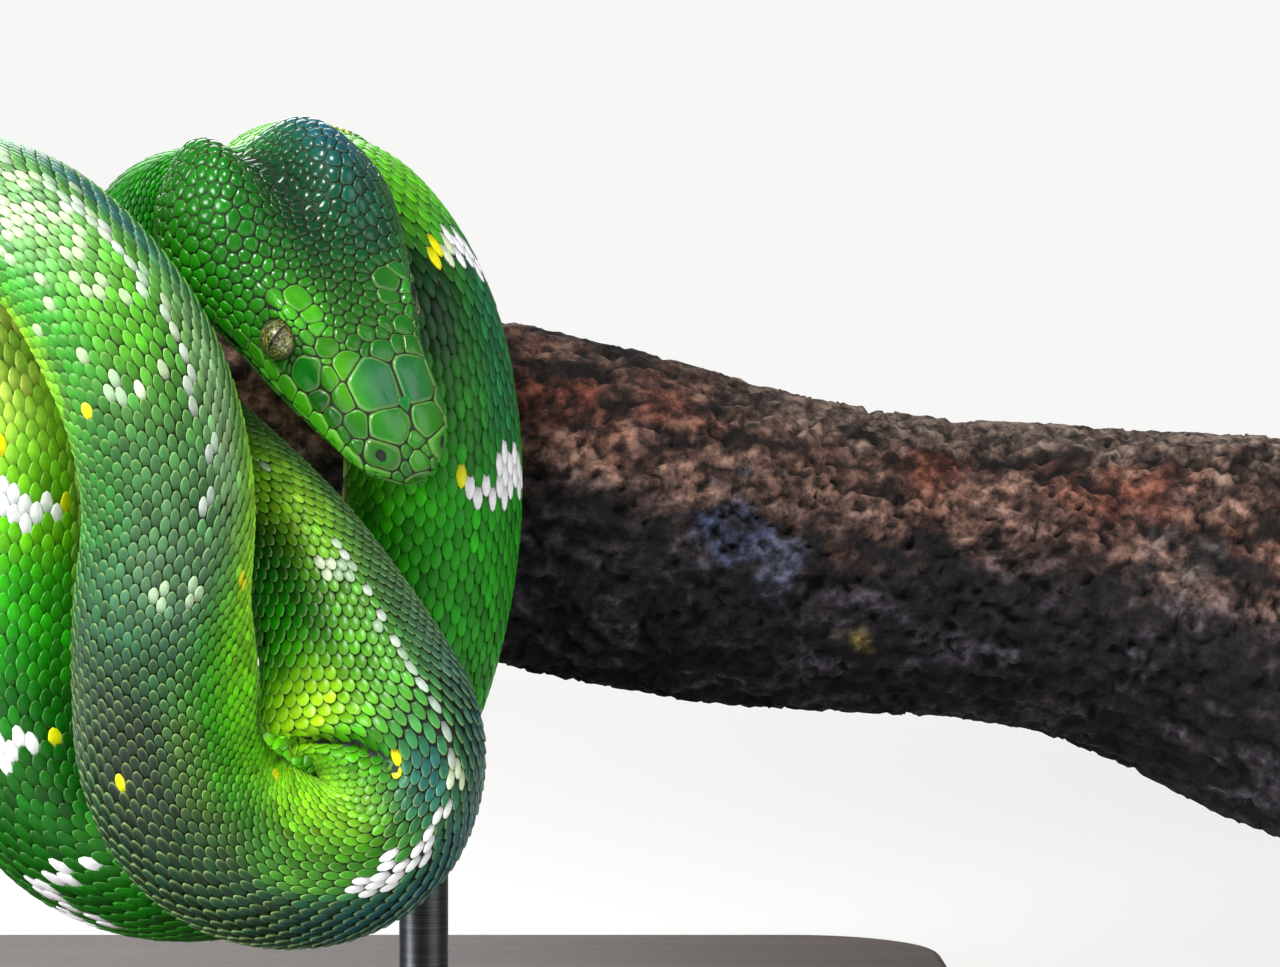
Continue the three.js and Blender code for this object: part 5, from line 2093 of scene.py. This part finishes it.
def lathed(outline: list, sides: int) -> tuple[Array, list]:
    """A closed turned shape about a vertical axis.

    Args:
        outline: radius and height from the bottom to the top, with radius 0 left out at both ends.
        sides: how many steps round.

    Returns:
        Its points and faces.
    """
    turn = np.linspace(0, 2 * math.pi, sides, endpoint=False)
    rings = [np.column_stack([r * np.cos(turn), r * np.sin(turn), np.full(sides, h)])
             for r, h in outline]
    ends = np.array([[0, 0, outline[0][1]], [0, 0, outline[-1][1]]])
    return np.vstack([*rings, ends]), closed_tube(len(outline), sides)


@dataclass
class DisplayStand:
    """A flat wooden base with two steel rods that go up into the branch."""

    perch: Perch
    length: float = 244.0
    depth: float = 170.0
    thickness: float = 14.0
    corner: float = 26.0
    rounding: float = 1.6
    rod_radius: float = 4.0
    foot_radius: float = 9.0
    foot_height: float = 3.0
    grip: float = 8.6
    rods: tuple = (("left", -45.0), ("right", 33.0))

    def base(self) -> Piece:
        """Makes the base with rounded corners and edges.

        Returns:
            The base.
        """
        curve = np.linspace(0, math.pi / 2, 13)
        corners = ((1, 1, 0.0), (-1, 1, 0.5), (-1, -1, 1.0), (1, -1, 1.5))
        turn = [(sx, sy, a + quarter * math.pi) for sx, sy, quarter in corners for a in curve]
        bend = np.linspace(0, math.pi / 2, 6)
        layers = [(self.rounding * (1 - math.sin(a)), self.rounding * (1 - math.cos(a)))
                  for a in bend]
        profile = layers + [(inset, self.thickness - height) for inset, height in reversed(layers)]
        rings = []
        for inset, height in profile:
            r = self.corner - inset
            x, y = self.length / 2 - self.corner, self.depth / 2 - self.corner
            rings.append([(sx * x + r * math.cos(a), sy * y + r * math.sin(a), height)
                          for sx, sy, a in turn])
        count = len(turn)
        points = np.array([p for ring in rings for p in ring])
        last = (len(rings) - 1) * count
        faces = [*tube_faces(len(rings), count), tuple(range(count))[::-1],
                 tuple(range(last, last + count))]
        base = mesh_object("stand_wooden_base", points * MM, faces, smooth=False)
        flat = np.array([len(face.vertices) == 4 for face in base.data.polygons])
        base.data.polygons.foreach_set("use_smooth", flat)
        base.data.materials.append(WoodFinish().material())
        return base

    def rod(self, name: str, x: float, finish: Material) -> Piece:
        """Makes a rod with its foot.

        Args:
            name: the piece's name.
            x: its place along the base.
            finish: its material.

        Returns:
            The rod.
        """
        bottom = self.thickness + 0.05
        top = PERCH_HEIGHT + self.perch.underside(x) + self.grip
        foot = bottom + self.foot_height
        outline = [(self.foot_radius - 0.5, bottom), (self.foot_radius, bottom + 0.5),
                   (self.foot_radius, foot - 1.2), (self.foot_radius - 0.35, foot - 0.45),
                   (self.foot_radius - 1.1, foot - 0.05), (self.rod_radius + 0.8, foot),
                   (self.rod_radius + 0.2, foot + 0.15), (self.rod_radius - 0.02, foot + 0.6),
                   (self.rod_radius - 0.02, top - 0.6), (self.rod_radius - 0.6, top)]
        points, faces = lathed(outline, 48)
        rod = mesh_object(name, (points + np.array([x, 0.0, 0.0])) * MM, faces)
        rod.data.materials.append(finish)
        return rod


# ---- the studio


@dataclass
class Studio:
    """Pale floor, white surroundings, soft lamps and the camera."""

    lens: float = 100.0
    camera_place: tuple = (0.06808, -0.5766, 0.09777)
    floor_radius: float = 5.0

    def floor(self) -> Piece:
        """Makes the floor, which turns white away from the model.

        Returns:
            The floor.
        """
        turn = np.linspace(0, 2 * math.pi, 96, endpoint=False)
        ring = np.column_stack([np.cos(turn), np.sin(turn), np.zeros_like(turn)])
        points = ring * self.floor_radius - np.array([0, 0, 0.00001])
        floor = mesh_object("floor", points, [tuple(range(len(points)))], smooth=False)
        material, bench, shader = new_material("pale_floor")
        bench.feed(shader, Base_Color=rgba("#e9e9e7"), Roughness=0.75)
        reach = bench.add("ShaderNodeVectorMath", {"operation": "LENGTH"}, Vector=bench.place())
        fade = bench.add("ShaderNodeMapRange", {"interpolation_type": "SMOOTHSTEP"},
                         Value=reach.outputs["Value"], From_Min=0.25, From_Max=1.4)
        rays = bench.add("ShaderNodeLightPath").outputs
        seen = bench.math("MAXIMUM", rays["Is Camera Ray"], rays["Is Glossy Ray"])
        white = bench.add("ShaderNodeEmission", Strength=1.0, Color=rgba("#f7f7f6"))
        bench.finish(shader.outputs[0], white.outputs[0],
                     bench.math("MULTIPLY", seen, fade.outputs[0]), "Material Output")
        floor.data.materials.append(material)
        return floor

    def world(self) -> None:
        """Lights softly from all round, and shows white to the camera."""
        world = bpy.data.worlds.new("studio")
        bpy.context.scene.world = world
        world.use_nodes = True
        bench = Bench(world.node_tree)
        soft = bench.feed(world.node_tree.nodes["Background"], Color=rgba("#ffffff"), Strength=0.22)
        white = bench.add("ShaderNodeBackground", Strength=1.0, Color=rgba("#f7f7f6"))
        rays = bench.add("ShaderNodeLightPath").outputs
        seen = bench.math("MAXIMUM", rays["Is Camera Ray"], rays["Is Transmission Ray"])
        bench.finish(soft.outputs[0], white.outputs[0], seen, "World Output")

    def lamp(self, name: str, place: tuple, power: float, size: float) -> None:
        """A soft square lamp that faces the model.

        Args:
            name: its name.
            place: where it hangs, metres.
            power: watts.
            size: its side, metres.
        """
        data = bpy.data.lights.new(name, "AREA")
        data.energy, data.size = power, size
        lamp = bpy.data.objects.new(name, data)
        lamp.location = place
        aim = Vector((0.0, 0.0, 0.1)) - Vector(place)
        lamp.rotation_euler = aim.to_track_quat("-Z", "Y").to_euler()
        bpy.context.scene.collection.objects.link(lamp)

    def lamps(self) -> None:
        """Hangs the lamps: a key above to the left of the front, and weaker ones round it."""
        self.lamp("key_lamp", (-0.42, -0.78, 1.05), 16.0, 0.3)
        self.lamp("fill_lamp", (1.0, -0.7, 0.6), 5.0, 0.9)
        self.lamp("side_lamp", (-1.15, -0.6, 0.3), 17.0, 0.5)
        self.lamp("back_lamp", (-0.3, 1.1, 0.9), 9.0, 0.8)

    def camera(self) -> None:
        """Sets the level camera in front of the coils."""
        data = bpy.data.cameras.new("camera")
        data.lens, data.sensor_width = self.lens, 36.0
        camera = bpy.data.objects.new("camera", data)
        camera.location = self.camera_place
        camera.rotation_euler = (math.pi / 2, 0.0, 0.0)
        bpy.context.scene.collection.objects.link(camera)
        bpy.context.scene.camera = camera


# ---- putting it together


def place(piece: Piece, slot: str, *nodes: str) -> None:
    """Joins a piece to the model's only body.

    Args:
        piece: the piece.
        slot: not used.
        nodes: the solids that it stands for.
    """
    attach(piece, "root")
    if nodes:
        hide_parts(*nodes)
    triangles = sum(len(face.vertices) - 2 for face in piece.data.polygons)
    log.info("%s: %d triangles", piece.name, triangles)


def main() -> None:
    """Builds everything in order."""
    logging.basicConfig(level=logging.INFO, format="%(message)s")
    bpy.context.scene.view_settings.view_transform = "Standard"
    studio = Studio()
    studio.camera()
    body = BodyShape()
    markings = Markings()
    relief = HideRelief(body)
    flesh = [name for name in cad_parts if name.startswith(("head", "neck", "trunk_", "tail_"))]
    skin = SnakeSkin(body, relief, markings).build()
    place(skin, "skin", *flesh)
    coat = ScaleCoat(body, relief, markings)
    head = HeadScales(body, relief, markings, coat.row_roots()).build()
    place(head, "skin")
    for piece in coat.build():
        place(piece, "skin")
    for side, node in ((1, "eye_left"), (-1, "eye_right")):
        place(Eye(body, relief, side).build(), "eye", node)
    perch = Perch()
    place(perch.build(), "bark", "perch_branch")
    stand = DisplayStand(perch)
    place(stand.base(), "base_wood", "stand_base")
    steel = SteelFinish().material()
    for side, x in stand.rods:
        rod = stand.rod(f"stand_steel_rod_{side}", x, steel)
        place(rod, "rod_steel", f"stand_rod_{side}")
    floor = studio.floor()
    studio.world()
    studio.lamps()


if __name__ == "__main__":
    main()
